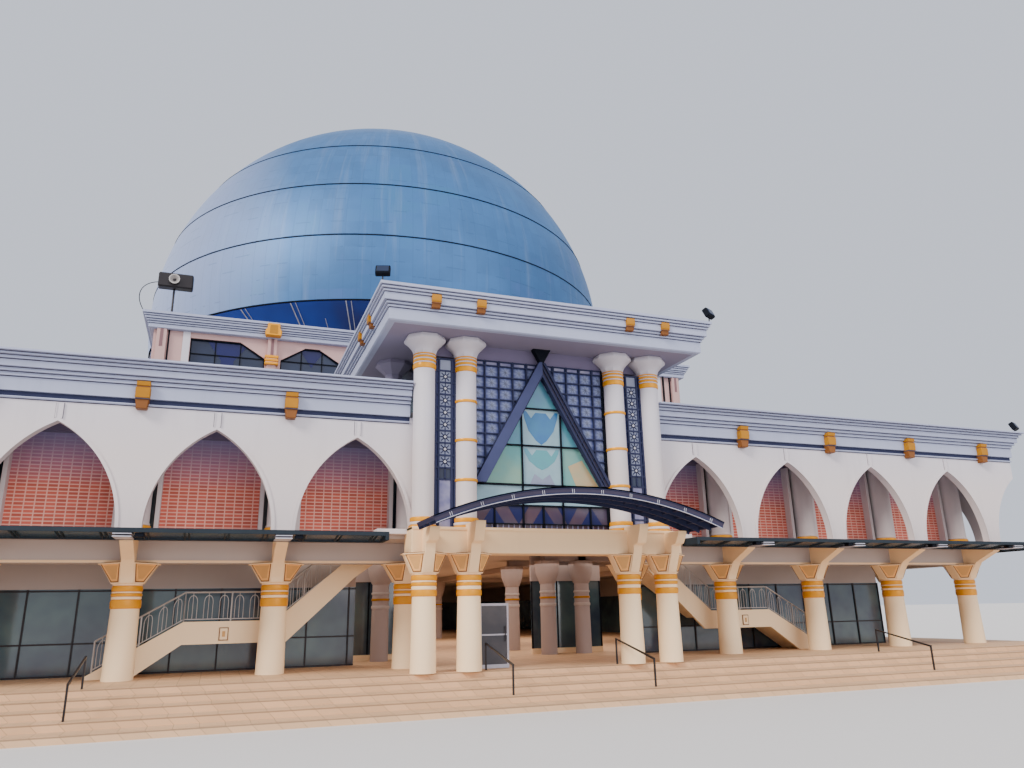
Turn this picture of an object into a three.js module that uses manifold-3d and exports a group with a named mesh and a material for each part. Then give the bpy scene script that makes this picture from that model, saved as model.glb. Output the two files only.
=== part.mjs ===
import * as THREE from 'three';
import { mergeVertices } from 'three/addons/utils/BufferGeometryUtils.js';
import Module from 'manifold-3d';

// Mosque building, 1:2 model. Every size below is the real building's, in metres.
// The origin is on the ground under the dome, the front faces -Y, and Z is up.
const SCALE = 0.5;
const MM_PER_METRE = 1000;
const GAP = 0.0006;
const JOIN = 0.02;

// Column grid
const BAY = 4.5;
const BAYS_WIDE = 10;
const BAYS_DEEP = 13;
const HALF_WIDTH = BAYS_WIDE * BAY / 2;
const HALF_DEPTH = BAYS_DEEP * BAY / 2;

// Heights above the ground
const RISER = 0.18;
const STEP_COUNT = 5;
const FLOOR = RISER * STEP_COUNT;
const CAPITAL_BASE = 3.82;
const BEAM_BASE = 4.42;
const SLAB_BASE = 5.13;
const UPPER_FLOOR = 5.36;
const ARCH_APEX = 8.52;
const WALL_TOP = 9.35;
const ROOF_TOP = 9.62;
const PARAPET_TOP = 10.53;
const PORTICO_BEAM_BASE = 4.6;
const PORTICO_FLOOR = 5.45;
const FACADE_TOP = 11.7;
const CANOPY_BASE = 12.24;
const CANOPY_TOP = 13.47;
const BLOCK_EAVES = 16.15;
const BLOCK_TOP = 16.92;

// Where a piece stands on or under another, it keeps the gap
const ON_FLOOR = FLOOR + GAP;
const UNDER_SLAB = SLAB_BASE - GAP;
const ON_UPPER_FLOOR = UPPER_FLOOR + GAP;
const UNDER_ROOF = WALL_TOP - GAP;
const ON_ROOF = ROOF_TOP + GAP;
const ON_BEAM = PORTICO_FLOOR + GAP;
const UNDER_CANOPY = CANOPY_BASE - GAP;
const UNDER_EAVES = BLOCK_EAVES - GAP;

// Plan sizes
const PLATFORM_MARGIN = 2.9;
const STEP_TREAD = 0.86;
const OVERHANG = 1.98;
const ARCADE_THICK = 0.3;
const ARCH_HALF_SPAN = 1.88;
const COLUMN_SIDES = 8;
const SHAFT_RADIUS = 0.46;
const SHAFT_TOP_RADIUS = 0.41;
const CAPITAL_RADIUS = 0.82;
const BEAM_HALF = 0.3;
const BLOCK_HALF_WIDTH = 14.67;
const BLOCK_HALF_DEPTH = 18.45;
const BLOCK_WALL = 0.3;
const LOBBY_HALF = 4.2;
const HALL_SETBACK = 2.7;

// Portico columns, measured from the centre line and from the front column line
const PORTICO_INNER = 3.0;
const PORTICO_OUTER = 4.53;
const PORTICO_X = [-PORTICO_OUTER, -PORTICO_INNER, PORTICO_INNER, PORTICO_OUTER];
const PORTICO_LOWER_OUT = 2.7;
const PORTICO_UPPER_OUT = 2.385;
const PORTICO_RADIUS = 0.4;
const PORTICO_UPPER_RADIUS = 0.38;
const FRONT_Y = -HALF_DEPTH;

// Dome
const DOME_RADIUS = 16.72;
const DOME_CENTRE = 22.36;
const DOME_RIM = 19.95;
const DOME_SHELL = 0.3;
const DOME_SEGMENTS = 40;
const DOME_RINGS = 7;
const DOME_INNER_RINGS = 3;
const DRUM_FOOT_RADIUS = 11.3;
const DRUM_FOOT = BLOCK_TOP - 0.02;

// Stairs: a lower flight, a landing and an upper flight rise towards the middle on each side
const STAIR = {
  front: FRONT_Y + 0.9,
  width: 1.62,
  footX: -14.35,
  landingX0: -11.79,
  landingX1: -8.72,
  topX: -5.19,
  landing: 2.5,
  lowerRisers: 10,
  upperRisers: 16,
  stringer: 0.14,
  stringerDepth: 0.72,
  lip: 0.09,
};

// Gallery wall
const GALLERY = {
  columnRadius: 0.42, wallFront: 0.36, wallThick: 0.22, headDepth: 0.3, headHalf: 0.2, slit: 0.17,
};

// Bowed canopy over the entrance, an arc of flat facets
const BOW = { halfSpan: 5.6, top: 6.5, rise: 1.26, thick: 0.24, front: -35.1, back: -33, facets: 32 };
BOW.radius = (BOW.halfSpan ** 2 + BOW.rise ** 2) / (2 * BOW.rise);
BOW.angle = Math.asin(BOW.halfSpan / BOW.radius);
BOW.centreZ = BOW.top - BOW.radius;

// Windows of the block under the dome, with sloped corners beside the flared pilasters
const BLOCK_WINDOWS = { sill: 11.4, head: BLOCK_EAVES - 0.28, slopeWide: 1.2, slopeHigh: 0.75 };

const building = new THREE.Group();
building.scale.setScalar(SCALE * MM_PER_METRE);

const MATERIALS = {
  white: { color: 0xe9e6e3, roughness: 0.7, metalness: 0 },
  cream: { color: 0xe3cdb4, roughness: 0.7, metalness: 0 },
  stone: { color: 0xd9b898, roughness: 0.6, metalness: 0 },
  brick: { color: 0xb5452d, roughness: 0.85, metalness: 0 },
  navy: { color: 0x2a3050, roughness: 0.5, metalness: 0.3 },
  pink: { color: 0xcfa3a0, roughness: 0.75, metalness: 0 },
  glass: { color: 0x24495a, roughness: 0.1, metalness: 0 },
  dome: { color: 0x6f9cc4, roughness: 0.35, metalness: 0.6 },
  steel: { color: 0x35322f, roughness: 0.4, metalness: 0.7 },
};

function addPiece(name, material, geometry) {
  const mesh = new THREE.Mesh(geometry, new THREE.MeshStandardMaterial(MATERIALS[material]));
  mesh.name = name;
  building.add(mesh);
}

// Joining solids into one
const manifold = await Module();
manifold.setup();

function toManifold(geometry) {
  const plain = geometry.clone();
  plain.deleteAttribute('normal');
  plain.deleteAttribute('uv');
  const merged = mergeVertices(plain);
  return new manifold.Manifold(new manifold.Mesh({
    numProp: 3,
    vertProperties: new Float32Array(merged.attributes.position.array),
    triVerts: new Uint32Array(merged.index.array),
  }));
}

// One solid from several, less the solids that are cut out of it
function fuse(solids, cuts = []) {
  let whole = solids.map(toManifold).reduce((joined, solid) => joined.add(solid));
  for (const cut of cuts) whole = whole.subtract(toManifold(cut));
  const { vertProperties, triVerts } = whole.getMesh();
  const geometry = new THREE.BufferGeometry();
  geometry.setAttribute('position', new THREE.BufferAttribute(vertProperties, 3));
  geometry.setIndex(new THREE.BufferAttribute(triVerts, 1));
  geometry.computeVertexNormals();
  return geometry;
}

// Plain solids
function box(x0, x1, y0, y1, z0, z1) {
  const geometry = new THREE.BoxGeometry(x1 - x0, y1 - y0, z1 - z0);
  return geometry.translate((x0 + x1) / 2, (y0 + y1) / 2, (z0 + z1) / 2);
}

function points(pairs) {
  return pairs.map(([x, y]) => new THREE.Vector2(x, y));
}

function polygon(pairs) {
  return new THREE.Shape(points(pairs));
}

// An outline in X and Z, thick along Y, with its front face at yFront
function upright(shape, thick, yFront, curveSegments = 5) {
  const geometry = new THREE.ExtrudeGeometry(shape, { depth: thick, bevelEnabled: false, curveSegments });
  return geometry.rotateX(Math.PI / 2).translate(0, yFront + thick, 0);
}

// An outline in X and Y between two heights
function flat(shape, z0, z1, curveSegments = 5) {
  const geometry = new THREE.ExtrudeGeometry(shape, { depth: z1 - z0, bevelEnabled: false, curveSegments });
  return geometry.translate(0, 0, z0);
}

// An outline of [outward, height] that faces the front, wide along X about the centre x.
// Outward is measured forward from the plane y = -out.
function sideways(outline, x, wide, out) {
  const geometry = new THREE.ExtrudeGeometry(polygon(outline), { depth: wide, bevelEnabled: false });
  return geometry.rotateX(Math.PI / 2).rotateZ(-Math.PI / 2).translate(x + wide / 2, -out, 0);
}

// A turned solid from [radius, height] pairs that start and end on the axis, or that close
function turned(profile, x, y, sides = COLUMN_SIDES) {
  const geometry = new THREE.LatheGeometry(points(profile), sides);
  return geometry.rotateY(Math.PI / sides).rotateX(Math.PI / 2).translate(x, y, 0);
}

function shaft(x, y, z0, z1, radius) {
  return turned([[0, z0], [radius, z0], [radius, z1], [0, z1]], x, y);
}

// A tapered column whose capital flares out under a beam, and reaches into it a little
function column(x, y, shaftRadius, neckRadius, capitalBase, capitalRadius, beamBase, sides = COLUMN_SIDES) {
  const rim = beamBase + JOIN;
  return turned([
    [0, ON_FLOOR], [shaftRadius, ON_FLOOR], [neckRadius, capitalBase], [capitalRadius, rim], [0, rim],
  ], x, y, sides);
}

// A copy mirrored in X, with each triangle's corners swapped so that its face still points out
function mirrored(geometry) {
  const copy = geometry.index ? geometry.toNonIndexed() : geometry.clone();
  copy.applyMatrix4(new THREE.Matrix4().makeScale(-1, 1, 1));
  for (const { array, itemSize } of Object.values(copy.attributes)) {
    for (let start = 0; start < array.length; start += 3 * itemSize) {
      const first = array.slice(start, start + itemSize);
      array.copyWithin(start, start + itemSize, start + 2 * itemSize);
      array.set(first, start + itemSize);
    }
  }
  return copy;
}

function addPair(name, material, left) {
  addPiece(`${name}_left`, material, left);
  addPiece(`${name}_right`, material, mirrored(left));
}

// The four sides: turn is the angle from the front, out the column line's distance from the axis
const SIDES = {
  front: { turn: 0, out: HALF_DEPTH, half: HALF_WIDTH, bays: BAYS_WIDE },
  right: { turn: Math.PI / 2, out: HALF_WIDTH, half: HALF_DEPTH, bays: BAYS_DEEP },
  back: { turn: Math.PI, out: HALF_DEPTH, half: HALF_WIDTH, bays: BAYS_WIDE },
  left: { turn: -Math.PI / 2, out: HALF_WIDTH, half: HALF_DEPTH, bays: BAYS_DEEP },
};

function onSide(side, geometry) {
  return geometry.rotateZ(SIDES[side].turn);
}

function ownsCorners(side) {
  return side === 'front' || side === 'back';
}

// Column places along one side. The left and right sides leave the corner columns to the others.
function columnPlaces(side) {
  const { half, bays } = SIDES[side];
  const places = [];
  for (let i = 0; i <= bays; i += 1) {
    const corner = i === 0 || i === bays;
    if (!corner || ownsCorners(side)) places.push(i * BAY - half);
  }
  return places;
}

function bayCentres(side) {
  const { half, bays } = SIDES[side];
  return Array.from({ length: bays }, (_, i) => (i + 0.5) * BAY - half);
}

// The front's left wing ends beside the portico
const onLeftWing = (x) => x < -BAY + 1;

// Walls and mouldings that run around the building
function rectangle(halfX, halfY) {
  return [[-halfX, -halfY], [halfX, -halfY], [halfX, halfY], [-halfX, halfY]];
}

// A thin wall around a rectangle, open at the front between x = -openHalf and openHalf
function openRing(halfX, halfY, thick, openHalf, z0, z1) {
  const inX = halfX - thick;
  const inY = halfY - thick;
  return flat(polygon([
    [-openHalf, -halfY], [-halfX, -halfY], [-halfX, halfY], [halfX, halfY], [halfX, -halfY],
    [openHalf, -halfY], [openHalf, -inY], [inX, -inY], [inX, inY], [-inX, inY], [-inX, -inY],
    [-openHalf, -inY],
  ]), z0, z1);
}

// A moulded ring around a rectangle, mitred at its corners: a four-sided turned ring that is
// stretched to the rectangle. Its profile is [outward, height] from the rectangle's edges.
function mouldedRing(profile, halfX, halfY) {
  const core = 1;
  const corners = [...profile, profile[0]].map(([outward, height]) => [
    (core + outward) * Math.SQRT2, height,
  ]);
  const geometry = turned(corners, 0, 0, 4);
  const place = geometry.attributes.position;
  for (let i = 0; i < place.count; i += 1) {
    const x = place.getX(i);
    const y = place.getY(i);
    place.setXY(i, x + Math.sign(x) * (halfX - core), y + Math.sign(y) * (halfY - core));
  }
  return geometry;
}

// Stepped base
function buildBase() {
  for (let step = 1; step <= STEP_COUNT; step += 1) {
    const margin = PLATFORM_MARGIN + (STEP_COUNT - step) * STEP_TREAD;
    const name = step === STEP_COUNT ? 'floor_slab' : `base_step_${step}`;
    const outline = polygon(rectangle(HALF_WIDTH + margin, HALF_DEPTH + margin));
    addPiece(name, 'stone', flat(outline, (step - 1) * RISER, step * RISER));
  }
}

// Ground storey: one side's columns, capitals and corbels with the beam that they carry
function colonnade(side, places, beamStart, beamEnd) {
  const { out } = SIDES[side];
  // The side beams start a little higher, clear of the corner columns' capitals
  const beamBase = ownsCorners(side) ? BEAM_BASE : BEAM_BASE + JOIN + GAP;
  const solids = [box(beamStart, beamEnd, -out - BEAM_HALF, -out + BEAM_HALF, beamBase, UNDER_SLAB)];
  const corbel = [
    [BEAM_HALF - JOIN, BEAM_BASE + 2 * JOIN], [OVERHANG, UNDER_SLAB - 0.14], [OVERHANG, UNDER_SLAB],
    [BEAM_HALF - JOIN, UNDER_SLAB],
  ];
  for (const x of places) {
    solids.push(column(x, -out, SHAFT_RADIUS, SHAFT_TOP_RADIUS, CAPITAL_BASE, CAPITAL_RADIUS, beamBase));
    const besidePortico = side === 'front' && Math.abs(x) < BAY * 1.5;
    if (!besidePortico) solids.push(sideways(corbel, x, 0.32, out));
  }
  return onSide(side, fuse(solids));
}

function buildColonnades() {
  const frontEnd = HALF_WIDTH + BEAM_HALF;
  const sideEnd = HALF_DEPTH - BEAM_HALF - GAP;
  const wingEnd = -PORTICO_OUTER + BEAM_HALF;
  const wing = columnPlaces('front').filter(onLeftWing);
  addPair('colonnade_front', 'cream', colonnade('front', wing, -frontEnd, wingEnd));
  addPiece('colonnade_back', 'cream', colonnade('back', columnPlaces('back'), -frontEnd, frontEnd));
  addPair('colonnade', 'cream', colonnade('left', columnPlaces('left'), -sideEnd, sideEnd));
}

function buildHall() {
  const x = HALF_WIDTH - HALL_SETBACK;
  const y = HALF_DEPTH - HALL_SETBACK;
  const thick = 0.08;
  const headBase = 3.72;
  const entranceHalf = 5.85;
  addPiece('hall_glass', 'glass', openRing(x, y, thick, entranceHalf, ON_FLOOR, headBase));
  addPiece('hall_header', 'cream', openRing(x, y, thick, entranceHalf, headBase + GAP, UNDER_SLAB));
}

// Hall columns with flared heads, joined by the ceiling beams that they carry
function buildHallFrames() {
  const outerX = -3 * BAY;
  const nearX = [-PORTICO_OUTER, -2.88];
  const rows = [-24.75, -20.25, 0, 20.25];
  const nearRows = rows.slice(0, 2);
  const beamBase = 4.83;
  const beamHalf = 0.2;
  const inner = (x, y) => column(x, y, 0.36, 0.32, CAPITAL_BASE, 0.6, beamBase, 6);
  const solids = [];
  for (const y of rows) {
    solids.push(inner(outerX, y), inner(nearX[0], y));
    solids.push(box(outerX, nearX[0], y - beamHalf, y + beamHalf, beamBase, UNDER_SLAB));
  }
  for (const y of nearRows) {
    solids.push(inner(nearX[1], y));
    solids.push(box(nearX[0], nearX[1] + beamHalf, y - beamHalf, y + beamHalf, beamBase, UNDER_SLAB));
  }
  for (const x of [outerX, nearX[0]]) {
    const [first, last] = [rows[0] - beamHalf, rows[3] + beamHalf];
    solids.push(box(x - beamHalf, x + beamHalf, first, last, beamBase, UNDER_SLAB));
  }
  addPair('hall_frame', 'cream', fuse(solids));
}

// Side view of a flight: the saw-toothed treads, then the straight underside back to the foot
function flightOutline(x0, z0, x1, z1, risers, foot, head) {
  const tread = (x1 - x0) / (risers - 1);
  const rise = (z1 - z0) / risers;
  const outline = [];
  for (let i = 1; i < risers; i += 1) {
    outline.push([x0 + (i - 1) * tread, z0 + i * rise], [x0 + i * tread, z0 + i * rise]);
  }
  return [...foot, ...outline, ...head];
}

function buildStairs() {
  const { front, width, footX, landingX0, landingX1, topX, landing, stringer, stringerDepth, lip } = STAIR;
  const { lowerRisers, upperRisers } = STAIR;
  const treadDepth = 0.3;
  const slabUnder = landing - 0.2;
  const slope = (landing - FLOOR) / (landingX0 - footX);
  const lowerFoot = [[footX, ON_FLOOR]];
  const lowerHead = [[landingX0 - GAP, slabUnder - 0.25], [footX + treadDepth / slope + 0.3, ON_FLOOR]];
  const lowerSteps = flightOutline(
    footX, FLOOR, landingX0 - GAP, landing, lowerRisers, lowerFoot, lowerHead);
  const lowerStringer = [
    [footX - 0.2, ON_FLOOR], [footX - 0.2, FLOOR + lip], [landingX0 - GAP, landing + lip],
    [landingX0 - GAP, landing + lip - stringerDepth], [footX + stringerDepth / slope, ON_FLOOR],
  ];
  const backPart = width - stringer + JOIN;
  const backY = front + stringer - JOIN;
  addPair('stair_lower_flight', 'cream', fuse([
    upright(polygon(lowerSteps), backPart, backY),
    upright(polygon(lowerStringer), stringer, front),
  ]));
  const topTread = (topX - landingX1) / (upperRisers - 1);
  const upperSlope = (UPPER_FLOOR - landing) / (topX - landingX1);
  const stringerEnd = landingX1 + (SLAB_BASE - landing - lip) / upperSlope - 0.3;
  const topRise = (UPPER_FLOOR - landing) / upperRisers;
  const upperFoot = [[landingX0, slabUnder], [landingX0, landing], [landingX1, landing]];
  const upperHead = [[topX - topTread, SLAB_BASE - 0.6], [landingX1 + 0.1, slabUnder]];
  const upperSteps = flightOutline(
    landingX1, landing, topX - topTread, UPPER_FLOOR - topRise, upperRisers - 1, upperFoot, upperHead);
  const landingTop = landing + lip;
  const upperStringer = [
    [landingX0, landingTop - stringerDepth], [landingX0, landingTop], [landingX1 - 0.12, landingTop],
    [stringerEnd, UNDER_SLAB], [stringerEnd + stringerDepth / upperSlope, UNDER_SLAB],
    [landingX1 + 0.25, landingTop - stringerDepth],
  ];
  addPair('stair_upper_flight', 'cream', fuse([
    upright(polygon(upperSteps), backPart, backY),
    upright(polygon(upperStringer), stringer, front),
  ]));
  buildStairRailings(stringerEnd);
}

// A railing frame that stands on the stringer, with open panels between its posts. Along the
// upper flight it ends under the floor above.
function buildStairRailings(stringerEnd) {
  const { front, footX, landingX0, landingX1, landing, stringer, lip } = STAIR;
  const thick = 0.04;
  const height = 0.95;
  const post = 0.05;
  const footGap = 0.08;
  const top = landing + lip;
  const ceiling = SLAB_BASE - 0.02;
  const bend = landingX1 - 0.12;
  const upperSlope = (SLAB_BASE - top) / (stringerEnd - bend);
  const lastX = stringerEnd - 0.3;
  const footEnd = footX - 0.2;
  const lowerSlope = (landing - FLOOR) / (landingX0 - footEnd);
  const lowerTop = (x) => FLOOR + lip + lowerSlope * (x - footEnd);
  const x0 = footX - 0.02;
  const x1 = landingX0 + JOIN;
  const stretches = [
    { x0, z0: lowerTop(x0), x1, z1: lowerTop(x1), panels: 3 },
    { x0: landingX0 - JOIN, z0: top, x1: bend, z1: top, panels: 4 },
    { x0: bend - JOIN, z0: top + 0.004, x1: lastX, z1: top + upperSlope * (lastX - bend), panels: 3 },
  ];
  const bars = [];
  const openings = [];
  const y = front + (stringer - thick) / 2;
  for (const { z0, z1, panels, ...ends } of stretches) {
    const foot = (x) => z0 + (z1 - z0) * (x - ends.x0) / (ends.x1 - ends.x0);
    const head = (x) => Math.min(foot(x) + height, ceiling);
    const strip = (a, b, low, high) => {
      const bendX = z1 > z0 ? ends.x0 + (ceiling - height - z0) * (ends.x1 - ends.x0) / (z1 - z0) : b;
      const outline = [[a, foot(a) + low], [b, foot(b) + low], [b, head(b) - high]];
      if (bendX > a + JOIN && bendX < b - JOIN) outline.push([bendX, head(bendX) - high]);
      return polygon([...outline, [a, head(a) - high]]);
    };
    bars.push(upright(strip(ends.x0, ends.x1, 0.002, 0), thick, y));
    const pitch = (ends.x1 - ends.x0 - post) / panels;
    for (let i = 0; i < panels; i += 1) {
      const a = ends.x0 + i * pitch + post;
      const b = a + pitch - post;
      openings.push(upright(strip(a, b, footGap, post), thick + 2 * JOIN, y - JOIN));
    }
  }
  addPair('stair_railing', 'steel', fuse(bars, openings));
}

// Upper floor, poured as a front strip with a stairwell on each side and as the hall's slab behind
function buildUpperFloor() {
  const edge = OVERHANG + 0.04;
  const x = HALF_WIDTH + edge;
  const y = HALF_DEPTH + edge;
  const wellMargin = 0.08;
  const wellFront = STAIR.front - wellMargin;
  const wellBack = STAIR.front + STAIR.width + wellMargin;
  const well = box(
    STAIR.landingX1 - 0.3, STAIR.topX, wellFront, wellBack + JOIN, SLAB_BASE - JOIN, UPPER_FLOOR + JOIN);
  const strip = box(-x, x, -y, wellBack, SLAB_BASE, UPPER_FLOOR);
  addPiece('upper_floor_front', 'white', fuse([strip], [well, mirrored(well)]));
  addPiece('upper_floor_hall', 'white', box(-x, x, wellBack + GAP, y, SLAB_BASE, UPPER_FLOOR));
}

// Thin sheet awnings that hang off the floor edge, around each front corner
function buildAwnings() {
  const inner = OVERHANG + 0.04 + GAP;
  const outer = inner + 1.05;
  const porticoEnd = -5.9;
  const shape = polygon([
    [porticoEnd, -HALF_DEPTH - outer], [-HALF_WIDTH - outer, -HALF_DEPTH - outer],
    [-HALF_WIDTH - outer, HALF_DEPTH + inner], [-HALF_WIDTH - inner, HALF_DEPTH + inner],
    [-HALF_WIDTH - inner, -HALF_DEPTH - inner], [porticoEnd, -HALF_DEPTH - inner],
  ]);
  addPair('awning', 'navy', flat(shape, SLAB_BASE, SLAB_BASE + 0.14));
}

// Height of the pointed arch above its foot, at a distance from its centre line
function archHeight(distance) {
  const rise = ARCH_APEX - UPPER_FLOOR;
  const radius = (ARCH_HALF_SPAN ** 2 + rise ** 2) / (2 * ARCH_HALF_SPAN);
  return Math.sqrt(Math.max(0, radius ** 2 - (distance + radius - ARCH_HALF_SPAN) ** 2));
}

// The arcade's outline between two ends. An arch that crosses an end is cut off there.
function arcadeOutline(xStart, xEnd, centres) {
  const stepsPerHalf = 5;
  const offsets = [];
  for (let i = -stepsPerHalf; i <= stepsPerHalf; i += 1) {
    // Offsets close up towards the foot, where the arch is steep
    offsets.push(ARCH_HALF_SPAN * Math.sin(Math.PI / 2 * i / stepsPerHalf));
  }
  const bottomAt = (x, centre) => {
    const distance = Math.abs(x - centre);
    return ON_UPPER_FLOOR + (distance < ARCH_HALF_SPAN ? archHeight(distance) : 0);
  };
  const outline = [[xStart, UNDER_ROOF], [xStart, bottomAt(xStart, centres[0])]];
  for (const centre of centres) {
    for (const offset of offsets) {
      const x = centre + offset;
      if (x > xStart + JOIN && x < xEnd - JOIN) outline.push([x, bottomAt(x, centre)]);
    }
  }
  outline.push([xEnd, bottomAt(xEnd, centres[centres.length - 1])], [xEnd, UNDER_ROOF]);
  return polygon(outline);
}

function buildArcades() {
  const wingEnd = -BAY + 0.37;
  const frontEnd = HALF_WIDTH + OVERHANG;
  const sideEnd = HALF_DEPTH + OVERHANG - ARCADE_THICK - GAP;
  const wall = (side, start, end, keep) => {
    const { out, half } = SIDES[side];
    const centres = [-half - BAY / 2, ...bayCentres(side), half + BAY / 2].filter(keep);
    return onSide(side, upright(arcadeOutline(start, end, centres), ARCADE_THICK, -(out + OVERHANG)));
  };
  const all = () => true;
  addPair('arcade_front', 'white', wall('front', -frontEnd, wingEnd, onLeftWing));
  addPiece('arcade_back', 'white', wall('back', -frontEnd, frontEnd, all));
  addPair('arcade', 'white', wall('left', -sideEnd, sideEnd, all));
}

// Gallery wall behind the arcade: round columns and the brick panels between them hang together
// under a deep head beam. A slit stays open beside each column.
function galleryWall(side, places, wallStart, wallEnd, headStart, headEnd) {
  const { out } = SIDES[side];
  const { columnRadius, wallFront, wallThick, headDepth, headHalf, slit } = GALLERY;
  const panelMargin = columnRadius + 0.02 + slit;
  const headBase = UNDER_ROOF - headDepth;
  const wallBack = -out + wallFront + wallThick;
  const solids = [
    box(headStart, headEnd, -out - headHalf, -out + headHalf, headBase, UNDER_ROOF),
    box(wallStart, wallEnd, -out + headHalf - JOIN, wallBack, headBase, UNDER_ROOF),
  ];
  for (const x of places) {
    solids.push(shaft(x, -out, ON_UPPER_FLOOR, UNDER_ROOF, columnRadius));
    const panelStart = Math.max(x + panelMargin, wallStart);
    const panelEnd = Math.min(x + BAY - panelMargin, wallEnd);
    if (panelEnd > panelStart + 1) {
      solids.push(box(panelStart, panelEnd, -out + wallFront, wallBack, ON_UPPER_FLOOR, headBase + JOIN));
    }
  }
  return onSide(side, fuse(solids));
}

function buildGallery() {
  const { columnRadius, wallFront, wallThick, headHalf } = GALLERY;
  const wallX = HALF_WIDTH - wallFront;
  const wallY = HALF_DEPTH - wallFront - wallThick - GAP;
  const headX = HALF_WIDTH + headHalf;
  const headY = HALF_DEPTH - columnRadius - GAP;
  const front = columnPlaces('front').filter(onLeftWing);
  addPair('gallery_wall_front', 'brick', galleryWall('front', front, -wallX, -BAY, -headX, -BAY));
  const back = columnPlaces('back');
  const side = columnPlaces('left');
  addPiece('gallery_wall_back', 'brick', galleryWall('back', back, -wallX, wallX, -headX, headX));
  addPair('gallery_wall', 'brick', galleryWall('left', side, -wallY, wallY, -headY, headY));
  const inset = wallFront + wallThick + GAP;
  addPiece('gallery_glass', 'glass', openRing(
    HALF_WIDTH - inset, HALF_DEPTH - inset, 0.05, BAY, ON_UPPER_FLOOR, UNDER_ROOF));
}

// Flat roof around the central block, open over the lobby behind the portico
function buildRoof() {
  const x = HALF_WIDTH + OVERHANG - ARCADE_THICK - GAP;
  const y = HALF_DEPTH + OVERHANG - ARCADE_THICK - GAP;
  const innerX = BLOCK_HALF_WIDTH - BLOCK_WALL - 0.15;
  const innerY = BLOCK_HALF_DEPTH - BLOCK_WALL - 0.15;
  addPiece('roof_slab', 'white', flat(polygon([
    [-x, -y], [-LOBBY_HALF, -y], [-LOBBY_HALF, -innerY], [-innerX, -innerY], [-innerX, innerY],
    [innerX, innerY], [innerX, -innerY], [LOBBY_HALF, -innerY], [LOBBY_HALF, -y], [x, -y], [x, y], [-x, y],
  ]), WALL_TOP, ROOF_TOP));
}

// Parapet with two moulding groups, open between the portico's columns
function buildParapet() {
  const face = ARCADE_THICK;
  const profile = [
    [0, WALL_TOP], [face, WALL_TOP], [face, 9.48], [face + 0.2, 9.56], [face + 0.2, 9.86],
    [face + 0.38, 9.95], [face + 0.38, 10.28], [face + 0.62, 10.38], [face + 0.62, PARAPET_TOP],
    [0, PARAPET_TOP],
  ];
  const halfX = HALF_WIDTH + OVERHANG - ARCADE_THICK;
  const halfY = HALF_DEPTH + OVERHANG - ARCADE_THICK;
  const gapHalf = PORTICO_OUTER + PORTICO_UPPER_RADIUS + 0.04;
  const gap = box(-gapHalf, gapHalf, -halfY - 1, -halfY + 1, WALL_TOP - 1, PARAPET_TOP + 1);
  addPiece('parapet', 'white', fuse([mouldedRing(profile, halfX, halfY)], [gap]));
}

// Height of the faceted underside at a distance from the centre line
function bowUnderside(x) {
  const inner = BOW.radius - BOW.thick;
  const step = 2 * BOW.angle / BOW.facets;
  const facet = Math.floor(Math.asin(x / inner) / step);
  const [x0, x1] = [facet, facet + 1].map((i) => inner * Math.sin(i * step));
  const [z0, z1] = [facet, facet + 1].map((i) => BOW.centreZ + inner * Math.cos(i * step));
  return z0 + (z1 - z0) * (x - x0) / (x1 - x0);
}

// Upper column with its tulip head
function upperColumn(x, y, foot, radius, top) {
  const neck = 11.74;
  return turned([
    [0, foot], [radius, foot], [radius, neck], [0.74, neck + 0.36], [0.7, top], [0, top],
  ], x, y);
}

// Portico: four columns on each storey, fused with the beam between them
function buildPorticoFrame() {
  const lowerY = FRONT_Y - PORTICO_LOWER_OUT;
  const upperY = FRONT_Y - PORTICO_UPPER_OUT;
  const flareBase = 4.05;
  const beamEnd = PORTICO_OUTER + 0.52;
  const beamFront = -32.34;
  const beamBack = FRONT_Y - OVERHANG - 0.04 - GAP;
  const solids = [box(-beamEnd, beamEnd, beamFront, beamBack, PORTICO_BEAM_BASE, PORTICO_FLOOR)];
  for (const x of PORTICO_X) {
    solids.push(column(
      x, lowerY, PORTICO_RADIUS + 0.02, PORTICO_RADIUS - 0.02, flareBase, 0.76, PORTICO_BEAM_BASE));
    solids.push(upperColumn(x, upperY, PORTICO_FLOOR - JOIN, PORTICO_UPPER_RADIUS, UNDER_CANOPY));
    const outer = Math.abs(x) > PORTICO_INNER;
    const armTop = outer ? bowUnderside(Math.abs(x) + 0.17) - GAP : PORTICO_FLOOR + 0.13;
    solids.push(sideways([
      [-JOIN, PORTICO_BEAM_BASE + 0.1], [0.36, PORTICO_BEAM_BASE + 0.1], [0.41, 4.9],
      [0.74, 4.94], [0.97, armTop], [-JOIN, armTop],
    ], x, 0.34, -beamFront));
  }
  addPiece('portico_frame', 'cream', fuse(solids));
}

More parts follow.
